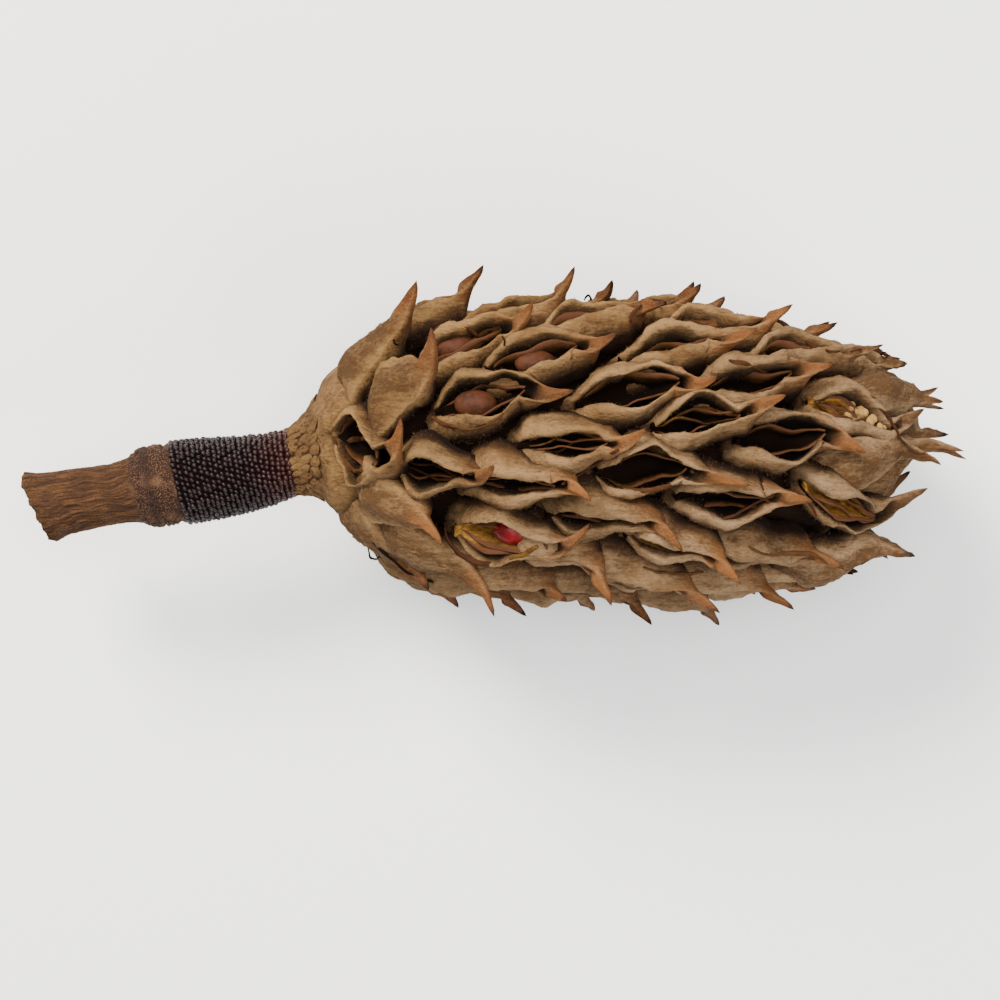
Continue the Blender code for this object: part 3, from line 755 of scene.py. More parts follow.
# Half of a follicle's cross-section, from the floor of its hollow over a lip to its hidden underside.
# Each row holds the share of the gape, the share of the lip, the share of the depth and the height.
LIP_SECTION = [
    (0.0, 0.0, 1.0, 0.0 * MM),
    (0.6, 0.0, 0.9, 0.0 * MM),
    (1.0, 0.0, 0.6, 0.0 * MM),
    (1.08, 0.0, 0.26, -0.1 * MM),
    (1.0, 0.02, 0.0, 0.15 * MM),
    (1.0, 0.11, 0.0, 0.65 * MM),
    (1.0, 0.28, 0.0, 0.82 * MM),
    (1.0, 0.49, 0.0, 0.5 * MM),
    (1.0, 0.69, 0.0, -0.3 * MM),
    (1.0, 0.85, 0.0, -1.4 * MM),
    (1.0, 0.95, 0.0, -2.7 * MM),
    (1.0, 0.98, 0.0, -3.9 * MM),
    (1.0, 0.84, 0.0, -5.0 * MM),
    (0.6, 0.5, 0.0, -6.0 * MM),
    (0.0, 0.0, 0.0, -6.4 * MM),
]
SECTION_STEPS = 18
BODY_RINGS = 26
BEAK_RINGS = 14
BEAK_LEAVES_AT = 0.56
BEAK_AHEAD = 5.2 * MM
NECK_DIVE = 0.9 * MM
LIP_OVERHANG = 1.0 * MM
NECK_ARC = 15.5 * MM
BARE_BEAK = 9.6 * MM
FAR_ARC = 56.0 * MM
SIDE_SINK = 1.4 * MM
SKEW_OUT = 0.13
BLACK_TIP = 1.3 * MM


def side_swing(facts, a):
    """How far a follicle's seam swings to the side, at places along it from -1 to 1."""
    wave = facts["swing"] * np.sin(a * 2.6 + facts["phase"]) * (1.0 - np.abs(a))
    return facts["skew"] * a * facts["length"] + wave + facts["bow"] * (1.0 - a * a)


def open_share(a, leaves_at):
    """How open a follicle is along its length, from 0 where its lips are joined to 1 in the middle."""
    middle = (leaves_at - 1.0) / 2.0 + 0.14
    return np.clip(1.0 - (np.abs(a - middle) / (0.46 * (1.0 + leaves_at))) ** 2.2, 0.0, 1.0)


def beak_leaves_at(facts):
    """The place along a follicle where its beak leaves it, early enough for the tip to lie ahead."""
    for place in np.linspace(BEAK_LEAVES_AT, 0.1, 24):
        point, forward, _, _ = BODY.places(facts["arc"] + place * facts["length"], facts["angle"])
        if np.dot(facts["tip"] - point, forward) >= BEAK_AHEAD * min(1.0, facts["beak_length"] / (6.0 * MM)):
            break
    return float(place)


def follicle_points(facts, ring, segment):
    """Where one copy of the follicle's mesh goes: its lips on the pod, its beak out along its own curve."""
    sizes = bpy.context.scene.pod_sizes
    t = np.arange(BODY_RINGS + BEAK_RINGS + 1)
    body_share = np.minimum(t / BODY_RINGS, 1.0)
    sunk = 1.0 - smooth_step(0.0, 0.5, body_share)
    tip = facts["tip"]
    leaves_at = facts["leaves_at"]
    a = -1.0 + (1.0 + leaves_at) * body_share
    u = np.clip((t - BODY_RINGS) / BEAK_RINGS, 0.0, 1.0)
    along = a * facts["length"]
    points, forward, around, outwards = BODY.places(facts["arc"] + along, facts["angle"])
    rise = sizes.scale_rise * a + facts["lift"] + sizes.lip_height * 0.5
    rise = rise - facts["dive"] * sunk
    swing = side_swing(facts, a)
    spine = points + outwards * rise[:, None] + around * swing[:, None]
    curve_radius = max(float(BODY.radius(facts["arc"])), SMALL_BODY_RADIUS / 2)

    start = spine[BODY_RINGS]
    reach = np.linalg.norm(tip - start)
    leaving = forward[BODY_RINGS] + outwards[BODY_RINGS] * 0.15
    knee = start + leaving * (reach * 0.45) + around[BODY_RINGS] * (facts["hook"] * reach)
    w = u[:, None]
    curve = start * (1 - w) ** 2 + knee * (2 * w * (1 - w)) + tip * w**2
    heading = (knee - start) * (1 - w) + (tip - knee) * w
    heading /= np.linalg.norm(heading, axis=1)[:, None]
    side = around - heading * np.sum(around * heading, axis=1)[:, None]
    side /= np.linalg.norm(side, axis=1)[:, None]
    up = np.cross(heading, side)
    on_beak = (t > BODY_RINGS)[:, None]
    spine = np.where(on_beak, curve, spine)
    side = np.where(on_beak, side, around)
    up = np.where(on_beak, up, outwards)

    # Sizes of the cross-section at each ring
    wide = facts["width"] * np.clip(1.0 - np.abs(a) ** 2.6, 0.02, 1.0) ** 0.5
    wide = wide * (1.0 - 0.42 * smooth_step(leaves_at - 0.8, leaves_at, a))
    spike = (1.0 - u) ** 1.15 * (1.0 - 0.3 * smooth_step(0.0, 0.4, u)) + 0.09 * (1.0 - smooth_step(0.9, 1.0, u))
    wide = np.where(u > 0.0, wide[BODY_RINGS] * spike + 0.03 * MM, wide)
    nearness = open_share(a, leaves_at)
    gape = facts["gape"] * nearness**0.8 * (1.0 + 0.22 * np.sin(a * 4.4 + facts["phase"] * 1.7))
    depth = facts["depth"] * nearness**0.6 + 0.5 * MM * (1.0 - smooth_step(0.0, 0.45, u))
    shut = smooth_step(0.08, 0.6, u)
    shut = np.maximum(shut, 1.0 - smooth_step(0.02, 0.16, body_share))
    shut = np.maximum(shut, facts["closed"])
    thick = np.where(u > 0.0, 1.0 - 0.7 * u, 1.0)

    half = np.minimum(segment, 2 * SECTION_STEPS - segment)
    hand = np.where(segment <= SECTION_STEPS, 1.0, -1.0)
    half = half * (len(LIP_SECTION) - 1) / SECTION_STEPS
    rows = np.arange(len(LIP_SECTION))
    table = np.stack([np.interp(half, rows, column) for column in np.array(LIP_SECTION).T], axis=-1)
    table[:, 1] = np.where(table[:, 1] < 1.0, table[:, 1] ** facts["crest"], 1.0)
    here, beak_share = a[ring], u[ring]
    lip_width = np.maximum(wide - gape, 0.0)[ring] * np.where(hand > 0.0, 1.05, 1.0 - 0.2 * facts["lean"])
    waver = np.sin(here * 5.2 + facts["phase"] * hand + hand) * (1.0 - beak_share)
    ripple = np.sin(here * 8.5 + facts["phase"] * 3.0 * hand) * (1.0 - beak_share)
    x_open = table[:, 0] * (gape[ring] + 0.32 * MM * waver * (gape[ring] > 0.3 * MM)) + table[:, 1] * lip_width
    high = table[:, 3] * thick[ring]
    lean = 1.0 + 0.6 * facts["lean"] * hand
    high = np.where(high > 0.0, high * lean, high)
    arch = 0.8 * facts["lean"] * MM * hand * np.clip((11.0 - half) / 5.0, 0.0, 1.0) * (half > 2)
    high = high + arch * open_share(here, leaves_at) * (1.0 - beak_share)
    over = np.clip(1.0 - np.abs(half - 5.0) / 3.0, 0.0, 1.0) * (hand > 0.0) * open_share(here, leaves_at)
    x_open = x_open - LIP_OVERHANG * facts["lean"] * over
    top = np.clip((10.0 - half) / 4.0, 0.0, 1.0) * (half > 2)
    high = high + (0.28 * waver + 0.16 * ripple) * MM * top
    z_open = high - table[:, 2] * depth[ring]
    theta = half / rows[-1] * math.pi
    x_shut = wide[ring] * np.sin(theta)
    ridge = np.minimum(wide[ring] * 1.05, np.where(beak_share > 0.0, 1.5 * MM, 1.3 * MM))
    under = np.maximum(wide[ring] * 0.9, 5.2 * MM * (1.0 - smooth_step(0.0, 0.5, beak_share)))
    z_shut = np.where(np.cos(theta) > 0.0, ridge * (1.0 - np.abs(np.sin(theta)) ** 1.25), under * np.cos(theta))
    c = shut[ring]
    x = hand * (x_open * (1 - c) + x_shut * c)
    z = z_open * (1 - c) + z_shut * c
    z -= np.where(beak_share <= 0.0, x * x / (2 * curve_radius), 0.0)
    placed = spine[ring] + side[ring] * x[:, None] + up[ring] * z[:, None]

    opened = (1 - c) * smooth_step(0.1 * MM, 0.5 * MM, gape[ring])
    to_tip = (1.0 - beak_share) * reach
    # how much the follicle faces up, used to paint light on its beak
    painted_light_facing = max(0.0, math.cos(facts["angle"]))
    end_on = facts["number"] > 70
    # painted shade low between the follicles and at each follicle's near end under its neighbours
    painted_crease_shade = smooth_step(-0.8 * MM, -3.0 * MM, z) * (half > 6) * (beak_share < 0.3)
    painted_crease_shade = np.maximum(painted_crease_shade, 0.8 * (1.0 - smooth_step(0.0, 0.22, body_share[ring])) * (facts["arc"] > NECK_ARC))
    # painted shade along the seam of a slit
    painted_groove_shade = np.clip(1.5 - half, 0.0, 1.0) * (1 - c) * 0.9
    values = {
        "beak": (0.5 if end_on else 1.0) * np.where(beak_share > 0.0, 1.0 - to_tip / BARE_BEAK, 1.0 - (reach + (leaves_at - here) * facts["length"]) / BARE_BEAK),
        # black beak ends, kept lighter on beaks that face up as painted light
        "tip": smooth_step(BLACK_TIP, 0.3 * BLACK_TIP, to_tip) * (1.0 - 0.7 * painted_light_facing),
        # painted shade inside the open hollows and along the slits
        "hollow": np.maximum(np.clip((4.6 - half) / 2.0, 0.0, 1.0) * opened, painted_groove_shade),
        # share on the lip crest, used for the painted highlight there
        "crest": np.clip(1.0 - np.abs(half - 6) / 3.5, 0.0, 1.0),
        # rust share, partly random and partly painted light: beaks that face up get more, beaks on the sides stay
        # darker as painted shade
        "rust": np.full(len(x), (0.2 + 0.8 * painted_light_facing) * (0.35 + 0.65 * facts["own"]) * (0.15 if end_on else 1.0)),
        "painted_crease_shade": painted_crease_shade,
        "own": np.full(len(x), facts["own"]),
    }
    return placed, values


class POD_OT_follicles(bpy.types.Operator):
    """Models one felted follicle with its beak and spreads copies of it over the pod"""

    bl_idname = "pod.follicles"
    bl_label = "Follicles and Beaks"

    def execute(self, context):
        near, far = [], []
        for number in range(BODY.count):
            facts = follicle_facts(number)
            group = near if number < BODY.count // 2 else far
            group.append(facts)
            if number in SPLIT_BEAKS:
                _, forward, around, outwards = BODY.places(facts["arc"], facts["angle"])
                aside = forward * SPLIT[0] + around * SPLIT[1]
                group.append({**facts, "tip": facts["tip"] + aside, "lift": facts["lift"] - SPLIT[2]})
        material = felt_material()
        self.add_follicles("felted_follicles", near, material)
        self.add_follicles("felted_follicles_far", far, material)
        return {"FINISHED"}

    def add_follicles(self, name, group, material):
        sizes = bpy.context.scene.pod_sizes
        piece, ring, segment = ball(name, 2 * SECTION_STEPS, BODY_RINGS + BEAK_RINGS)
        repeat(piece, len(group))
        points = []
        layers = {}
        for facts in group:
            placed, values = follicle_points(facts, ring, segment)
            points.append(placed)
            for layer, part in values.items():
                layers.setdefault(layer, []).append(part)
        points = np.concatenate(points)
        loose = (1.0 - 0.85 * np.clip(np.concatenate(layers["beak"]), 0.0, 1.0))[:, None]
        points += uneven(points, sizes.wobble, 2.6 * MM) * loose
        points += uneven(points, sizes.wobble * 0.45, 0.9 * MM) * loose
        points += wrinkles(points, sizes.wrinkle, 2.0 * MM) * loose
        points += wrinkles(points, sizes.wrinkle * 0.4, 0.9 * MM) * loose
        set_coordinates(piece, bend(points))
        for layer, parts in layers.items():
            add_attribute(piece, layer, np.concatenate(parts))
        # share of painted cool light, taken from each point's place
        add_attribute(piece, "painted_cool_light", painted_cool_light_side(points))
        finish_piece(piece, material)
        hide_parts("follicle_cone")


def turned_piece(name, outline, sides, rings):
    """A disc drawn out along X in even steps and resized at each, as on a lathe."""
    xs, rs = smooth_line(outline, rings)
    start_piece()
    bpy.ops.mesh.primitive_circle_add(
        vertices=sides, radius=rs[0], fill_type="NGON", location=(xs[0], 0.0, 0.0), rotation=(0, math.pi / 2, 0)
    )
    piece = bpy.context.object
    piece.name = name
    piece.data.name = name
    bpy.ops.object.transform_apply(location=True, rotation=True, scale=True)
    bpy.ops.object.mode_set(mode="EDIT")
    bpy.ops.mesh.select_all(action="SELECT")
    for step in range(1, rings):
        bpy.ops.mesh.extrude_region_move(TRANSFORM_OT_translate={"value": (xs[step] - xs[step - 1], 0, 0)})
        grow = rs[step] / rs[step - 1]
        bpy.ops.transform.resize(value=(1.0, grow, grow), center_override=(xs[step], 0.0, 0.0))
    bpy.ops.mesh.select_all(action="SELECT")
    bpy.ops.mesh.normals_make_consistent(inside=False)
    bpy.ops.object.mode_set(mode="OBJECT")
    return piece


def turned_places(piece):
    """Each vertex's place along X, its radius and its angle."""
    spots = coordinates(piece)
    return spots[:, 0], np.hypot(spots[:, 1], spots[:, 2]), np.arctan2(spots[:, 1], spots[:, 2])


# How far the cross-sections slant along X, at places along the stalk, the collar and the neck
SLANT_PLACES = [-62.0 * MM, -43.0 * MM, -28.0 * MM, -24.0 * MM, -19.0 * MM]
SLANTS = [0.2, 0.24, 0.15, 0.1, 0.0]


def place_straight(piece, points):
    """Bends the points of a straight piece onto the middle line, with its sections nearly square to it."""
    placed = bend(points)
    placed[:, 0] -= np.interp(points[:, 0], SLANT_PLACES, SLANTS) * points[:, 1]
    set_coordinates(piece, placed)


def set_turned(piece, x, r, angle):
    place_straight(piece, np.stack([x, r * np.sin(angle), r * np.cos(angle)], axis=-1))


NECK_X = -24.6 * MM
NECK_BLEND_X = -14.0 * MM
CORE_DEPTH = 6.6 * MM


class POD_OT_core(bpy.types.Operator):
    """Models the neck and the felted body that shows between the follicles"""

    bl_idname = "pod.core"
    bl_label = "Neck and Core"

    def execute(self, context):
        outline = [(-28.4 * MM, 3.9 * MM)]
        for pick in np.linspace(0, 0.965 * (OUTLINE_SAMPLES - 1), 24).astype(int):
            x, r = float(BODY.x[pick]), float(BODY.r[pick])
            share = min(1.0, max(0.0, (x - NECK_X) / (NECK_BLEND_X - NECK_X)))
            outline.append((x, max(0.5 * r, r - CORE_DEPTH * share)))
        piece = turned_piece("neck_and_core", outline, 110, 110)
        x, r, angle = turned_places(piece)
        straight = np.stack([x, r * np.sin(angle), r * np.cos(angle)], axis=-1)
        straight += uneven(straight, 0.5 * MM, 3.2 * MM) * smooth_step(-26.5 * MM, -23.0 * MM, x)[:, None]
        straight += uneven(straight, 0.16 * MM, 0.8 * MM) * smooth_step(-27.2 * MM, -26.4 * MM, x)[:, None]
        facts = follicle_facts(0)
        hollow, _, _, outwards = BODY.places(facts["arc"], facts["angle"])
        pit = np.exp(-((np.linalg.norm(straight - hollow, axis=1) / (5.6 * MM)) ** 4))
        straight -= outwards * (pit * 6.5 * MM)[:, None]
        place_straight(piece, straight)
        add_attribute(piece, "neck", 1.0 - smooth_step(-25.0 * MM, -21.5 * MM, x))
        # painted shade on the narrow end of the neck next to the collar, where the core lies between the scars
        add_attribute(piece, "pit", 1.0 - smooth_step(-25.4 * MM, -23.4 * MM, x))
        # painted shade on the core where it shows between the follicles, and in the dent at the first follicle
        painted_crease_shade = smooth_step(-20.5 * MM, -16.0 * MM, x) * (1.0 - 0.6 * smooth_step(50.0 * MM, 56.0 * MM, x))
        add_attribute(piece, "painted_crease_shade", np.maximum(painted_crease_shade, pit))
        material = neck_material()
        finish_piece(piece, material)
        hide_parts("follicle_cone")
        self.add_scars(material)
        return {"FINISHED"}

    def add_scars(self, material):
        """Sets finger-like scars round the neck, where petals fell, with the longest ones at the collar."""
        draw = random.Random(RANDOM_START)
        spots = []
        for row, (place, count, long) in enumerate(NECK_SCARS):
            for step in range(count):
                turn = (step + 0.5 * row + draw.uniform(-0.2, 0.2)) / count * math.tau
                spots.append((place + draw.uniform(-0.35, 0.35) * MM, turn, long * draw.uniform(0.75, 1.2), count))
        piece, ring, segment = ball("neck_scars", 12, 10)
        shape = coordinates(piece)
        repeat(piece, len(spots))
        points = []
        for place, turn, long, count in spots:
            x = place + shape[:, 2] * long
            radius = np.interp(x, BODY.x, BODY.r, left=float(BODY.r[0])) + shape[:, 0] * 0.42 * MM - 0.04 * MM
            angle = turn + shape[:, 1] * math.pi / count * 1.06
            points.append(np.stack([x, radius * np.sin(angle), radius * np.cos(angle)], axis=-1))
        points = np.concatenate(points)
        points += uneven(points, 0.18 * MM, 1.0 * MM)
        place_straight(piece, points)
        add_attribute(piece, "neck", np.full(len(points), 0.75))
        finish_piece(piece, material)


NECK_SCARS = [(-26.9 * MM, 26, 1.0 * MM), (-25.6 * MM, 25, 1.0 * MM), (-24.5 * MM, 24, 0.8 * MM)]


def neck_material():
    """Felt that is worn and dark-speckled at the neck, with painted shade between the follicles and at the narrow end
    by the collar.
    """
    colours = bpy.context.scene.pod_colours
    material, tree, shader = new_material("neck_felt", 0.95, shine=0.12)
    mottle = use_group(
        tree,
        "Mottled surface",
        mottle_group,
        Light=colours.felt_light,
        Dark=colours.felt_dark,
        Patch_scale=330.0,
        Grain_scale=2900.0,
        Lift=0.05,
    )
    place = node(tree, "ShaderNodeTexCoord").outputs["Object"]
    stains = maths(tree, "MULTIPLY", ramp(tree, noise_at(tree, place, 190.0, detail=5.0), 0.4, 0.8), 0.5)
    shown = mix_colours(tree, stains, mottle.outputs["Colour"], colours.felt_stain)
    worn = mix_colours(tree, 0.6, shown, linear(66, 44, 25))
    specks = use_group(
        tree, "Fine specks", speckle_group, Colour=worn, Speck=linear(30, 14, 9), Scale=1500.0, Amount=0.9
    )
    shown = mix_colours(tree, attribute(tree, "neck"), shown, specks.outputs["Colour"])
    # painted shade where the core shows between the follicles
    shown = mix_colours(tree, attribute(tree, "painted_crease_shade"), shown, colours.painted_crease_shade)
    # painted shade at the narrow end next to the collar
    shown = mix_colours(tree, maths(tree, "MULTIPLY", attribute(tree, "pit"), 0.85), shown, linear(36, 15, 10))
    link(tree, shown, shader.inputs["Base Color"])
    add_bump(tree, shader, mottle.outputs["Height"], 0.8, 0.0004)
    return material


LINING_RINGS = 20
LINING_STEPS = 12


def lining_points(facts, t, q):
    """One lining's sheet: a boat in the hollow whose rims stand free of the lips. t and q run from 0 to 1."""
    sizes = bpy.context.scene.pod_sizes
    leaves_at = facts["leaves_at"]
    middle = (leaves_at - 1.0) / 2.0 + 0.14
    a = middle + (t * 2.0 - 1.0) * 0.455 * (1.0 + leaves_at)
    along = a * facts["length"]
    points, _, around, outwards = BODY.places(facts["arc"] + along, facts["angle"])
    boat = open_share(a, leaves_at)
    swing = side_swing(facts, a)
    turn = (q * 2.0 - 1.0) * math.pi / 2.0
    hand = np.sign(turn)
    loose = 0.5 + 0.36 * (0.5 + 0.5 * np.sin(facts["phase"] * 5.0 + hand))
    half_wide = np.maximum(facts["gape"] * loose, 0.3 * MM) * boat**0.7 + 0.05 * MM
    waver = np.sin(a * 6.5 + facts["phase"] * 2.0 + hand) * 0.42 * MM * boat
    across = half_wide * np.sin(turn) * (1.0 + 0.12 * np.cos(turn * 3.0)) + waver * np.abs(np.sin(turn))
    body_share = (a + 1.0) / (1.0 + leaves_at)
    drop = 2.7 * MM * (0.5 + 0.5 * np.sin(facts["phase"] * 7.0 + 2.0 * hand)) * boat
    rim = sizes.lip_height * 0.5 + facts["lift"] + sizes.scale_rise * a + waver * 0.6 - drop
    rim = rim - facts["dive"] * (1.0 - smooth_step(0.0, 0.5, body_share))
    floor = sizes.scale_rise * a + facts["lift"] - facts["depth"] * 0.8 * boat**0.6
    down = floor + (rim - floor) * (1.0 - np.cos(turn) ** 0.7)
    curve_radius = max(float(BODY.radius(facts["arc"])), SMALL_BODY_RADIUS / 2)
    return points + around * (across + swing)[:, None] + outwards * (down - across**2 / (2 * curve_radius))[:, None]


class POD_OT_linings(bpy.types.Operator):
    """Models one papery lining and fits a copy of it in every follicle's hollow"""

    bl_idname = "pod.linings"
    bl_label = "Linings"

    def execute(self, context):
        start_piece()
        bpy.ops.mesh.primitive_grid_add(x_subdivisions=LINING_RINGS, y_subdivisions=LINING_STEPS, size=2.0)
        piece = context.object
        piece.name = "follicle_linings"
        piece.data.name = "follicle_linings"
        flat = coordinates(piece)
        t, q = (flat[:, 0] + 1.0) / 2.0, (flat[:, 1] + 1.0) / 2.0
        opened = [number for number in range(BODY.count) if not follicle_facts(number)["closed"]]
        doubled = [number for number in opened if number % 3 == 1 or number in GOLDEN_LININGS]
        repeat(piece, len(opened) + len(doubled))
        points, rims, golds = [], [], []
        for number in opened + doubled:
            facts = follicle_facts(number)
            inner = len(points) >= len(opened)
            if inner:
                facts.update({"gape": facts["gape"] * 0.62, "phase": facts["phase"] + 1.9, "swing": 1.1 * MM})
            points.append(lining_points(facts, t, q))
            golden = number in GOLDEN_LININGS
            # the rim colour is partly the edge's own colour and partly a painted highlight that fades in and out along
            # the rim; inner layers get less of it and more painted shade
            painted_highlight_fade = 0.1 * (0.5 + 0.5 * np.sin(t * 8.0 + facts["phase"] * 4.0 + 2.0 * np.sign(q - 0.5)))
            rims.append(np.abs(q * 2.0 - 1.0) * (0.86 if inner and not golden else 1.0) - painted_highlight_fade * (not golden))
            golds.append(np.full(len(t), (0.72 if inner else 1.0) if golden else 0.22 * facts["own"]))
        points = np.concatenate(points)
        points += uneven(points, 0.22 * MM, 1.6 * MM)
        set_coordinates(piece, bend(points))
        add_attribute(piece, "rim", np.concatenate(rims))
        add_attribute(piece, "gold", np.concatenate(golds))
        apply_modifier(piece, "SOLIDIFY", thickness=0.24 * MM, offset=0.0)
        finish_piece(piece, lining_material())
        return {"FINISHED"}


# Free strips of lining: places along each in mm as seen from above, its width, its height over the felt,
# how golden it is, and its rim share, from painted shade at 0 to the rim colour, partly a painted highlight, near 1
RIBBONS = [
    ([(28.4, -9.8), (31.5, -9.4), (34.4, -7.9), (37.0, -6.5), (39.3, -5.8), (41.4, -6.8), (43.2, -9.1)], 0.7 * MM, 0.5 * MM, 0.0, 0.9),
    ([(-6.3, -10.1), (-5.7, -12.7), (-4.1, -14.6), (-1.1, -15.5), (2.2, -15.7), (4.4, -15.0)], 0.7 * MM, 0.5 * MM, 0.0, 0.9),
    ([(-21.3, 1.2), (-20.1, -1.5), (-18.2, -3.2), (-15.7, -2.1)], 0.6 * MM, 0.3 * MM, 0.1, 0.9),
    ([(-20.0, 0.0), (-17.9, 1.2), (-15.7, 0.3), (-14.9, -1.2)], 0.8 * MM, 0.3 * MM, 0.1, 0.9),
    ([(-8.1, 4.1), (-5.2, 2.6), (-1.5, 2.5), (1.5, 4.4)], 0.7 * MM, 0.2 * MM, 0.1, 0.9),
    ([(-9.1, 13.8), (-8.1, 15.7), (-5.2, 16.4), (-1.9, 14.9)], 0.8 * MM, 0.4 * MM, 0.0, 0.9),
    ([(18.6, 16.8), (19.7, 18.8), (21.8, 19.8), (24.3, 19.9)], 0.8 * MM, 0.4 * MM, 0.0, 0.9),
    ([(48.3, 12.8), (50.8, 13.5), (53.1, 13.1), (55.3, 11.5)], 0.6 * MM, 0.6 * MM, 0.0, 0.9),
    ([(35.1, 16.7), (38.5, 17.4), (42.5, 14.4), (46.9, 13.0)], 0.6 * MM, 0.4 * MM, 0.0, 0.9),
    ([(31.5, 11.5), (33.9, 10.9), (37.7, 9.5)], 0.55 * MM, 0.3 * MM, 0.1, 0.9),
    ([(51.9, 5.1), (53.8, 3.3), (54.8, 1.2), (56.2, -0.1), (58.4, -0.8)], 0.6 * MM, 0.5 * MM, 0.0, 0.9),
    ([(9.4, -5.0), (12.8, -2.9), (16.6, -0.4)], 0.8 * MM, 0.4 * MM, 0.0, 0.9),
    ([(20.4, -16.0), (24.3, -17.0), (28.7, -16.7)], 0.55 * MM, 0.3 * MM, 0.2, 0.9),
    ([(34.2, -13.2), (37.7, -14.4), (41.8, -14.2), (45.0, -15.6)], 0.6 * MM, 0.4 * MM, 0.2, 0.9),
    ([(15.5, -4.0), (18.4, -5.7), (22.1, -5.5), (25.9, -4.0)], 0.6 * MM, 0.2 * MM, 0.1, 0.9),
    # the next two thin strips have a rim share of 0 and are drawn in the hollow colour: dark strips of painted shade
    # in slits
    ([(-17.0, -13.6), (-16.6, -15.2), (-14.9, -14.4)], 0.22 * MM, -0.2 * MM, 0.00, 0.0),
    ([(12.8, 20.5), (13.4, 21.2), (13.8, 20.2)], 0.22 * MM, 0.2 * MM, 0.00, 0.0),
    ([(-16.4, -12.6), (-13.4, -15.4), (-10.6, -17.3), (-7.9, -18.2)], 0.7 * MM, 0.0 * MM, 0.0, 0.3),
    ([(-13.2, 14.6), (-12.1, 13.5), (-10.9, 13.4), (-8.4, 15.9)], 0.20 * MM, 0.7 * MM, 0.4, 0.6),
    ([(-1.0, 15.6), (1.1, 15.3), (1.7, 13.5)], 0.20 * MM, 0.7 * MM, 0.4, 0.6),
    ([(2.3, -14.9), (3.9, -14.4), (5.2, -13.8), (6.2, -13.2)], 0.60 * MM, 0.2 * MM, 0.60, 0.7),
    ([(-20.3, 2.3), (-18.8, 2.9), (-17.0, 2.1)], 0.40 * MM, -0.6 * MM, 0.10, 0.8),
]
RIBBON_STEPS = 24
LUMP_LINE = [(47.6, 5.3), (49.0, 5.0), (50.3, 4.4), (51.5, 3.6), (52.6, 2.7)]
LUMPS = 11


def top_heights(spots):
    """Height of the felt's surface at each place, as seen from above."""
    heights = []
    for x, y in spots:
        found = [AXIS_HEIGHT]
        for name in ("felted_follicles", "felted_follicles_far"):
            hit, point, _, _ = bpy.data.objects[name].ray_cast(Vector((x, y, 0.2)), Vector((0.0, 0.0, -1.0)))
            if hit:
                found.append(point.z)
        heights.append(max(found))
    return np.array(heights)


def along_curve(spots, count):
    """Places spread along a smooth curve through places given in mm."""
    spots = np.array(spots) * MM
    steps = np.hypot(*np.diff(spots, axis=0).T)
    knots = np.concatenate([[0.0], np.cumsum(steps)])
    places = np.linspace(0.0, knots[-1], count)
    order = min(3, len(spots) - 1)
    return np.stack([np.polyval(np.polyfit(knots, column, order), places) for column in spots.T], axis=-1)


class POD_OT_ribbons(bpy.types.Operator):
    """Models one strip of loose lining and curls copies of it over the follicles, with the golden lumps"""

    bl_idname = "pod.ribbons"
    bl_label = "Loose Linings"

    def execute(self, context):
        start_piece()
        bpy.ops.mesh.primitive_grid_add(x_subdivisions=RIBBON_STEPS, y_subdivisions=4, size=2.0)
        piece = context.object
        piece.name = "loose_linings"
        piece.data.name = "loose_linings"
        flat = coordinates(piece)
        step = np.round((flat[:, 0] + 1.0) / 2.0 * RIBBON_STEPS).astype(int)
        q = (flat[:, 1] + 1.0) / 2.0
        repeat(piece, len(RIBBONS))
        points, golds, rims = [], [], []
        for number, (spots, width, out, gold, rim) in enumerate(RIBBONS):
            line = along_curve(spots, RIBBON_STEPS + 1)
            heights = top_heights(line)
            share = np.linspace(-1.0, 1.0, RIBBON_STEPS + 1)
            ceiling = np.array([heights[max(0, n - 3):n + 4].max() for n in range(len(heights))])
            heights = np.minimum(np.polyval(np.polyfit(share, heights, 2), share), ceiling) + out
            heads = np.gradient(line, axis=0)
            heads /= np.linalg.norm(heads, axis=1)[:, None]
            sides = np.stack([-heads[:, 1], heads[:, 0]], axis=-1)
            roll = 0.5 + 0.8 * np.sin(share * 2.2 + number)
            taper = 0.25 + 0.75 * (1.0 - share**4)
            across = (q - 0.5) * (width * taper)[step]
            curl = 0.35 * width * (q - 0.5) ** 2
            flat_part = across * np.sin(roll[step]) + curl
            xy = line[step] + sides[step] * flat_part[:, None]
            z = heights[step] + across * np.cos(roll[step])
            points.append(np.column_stack([xy, z]))
            golds.append(np.full(len(q), gold))
            rims.append(np.full(len(q), rim))
        points = np.concatenate(points)
        points += uneven(points, 0.2 * MM, 1.2 * MM)
        set_coordinates(piece, points)
        add_attribute(piece, "rim", np.concatenate(rims))
        add_attribute(piece, "gold", np.concatenate(golds))
        apply_modifier(piece, "SOLIDIFY", thickness=0.26 * MM, offset=0.0)
        finish_piece(piece, bpy.data.materials["lining"])
        self.add_lumps()
        return {"FINISHED"}

    def add_lumps(self):
        """Sets the yellow crumbs that fill one slit near the tip."""
        draw = random.Random(RANDOM_START)
        line = along_curve(LUMP_LINE, LUMPS)
        heights = top_heights(line)
        heights = np.polyval(np.polyfit(np.arange(LUMPS), heights, 2), np.arange(LUMPS))
        piece, ring, segment = ball("golden_crumbs", 10, 8)
        shape = coordinates(piece)
        repeat(piece, LUMPS)
        points = []
        for (x, y), z in zip(line, heights):
            size = np.array([0.62, 0.85, 0.6]) * draw.uniform(0.6, 1.15) * MM
            aside = np.array([draw.uniform(-0.4, 0.4), draw.uniform(-0.8, 0.8), 0.1]) * MM
            points.append(shape * size + np.array([x, y, z]) + aside)
        points = np.concatenate(points)
        points += uneven(points, 0.14 * MM, 0.5 * MM)
        set_coordinates(piece, points)
        finish_piece(piece, crumb_material())


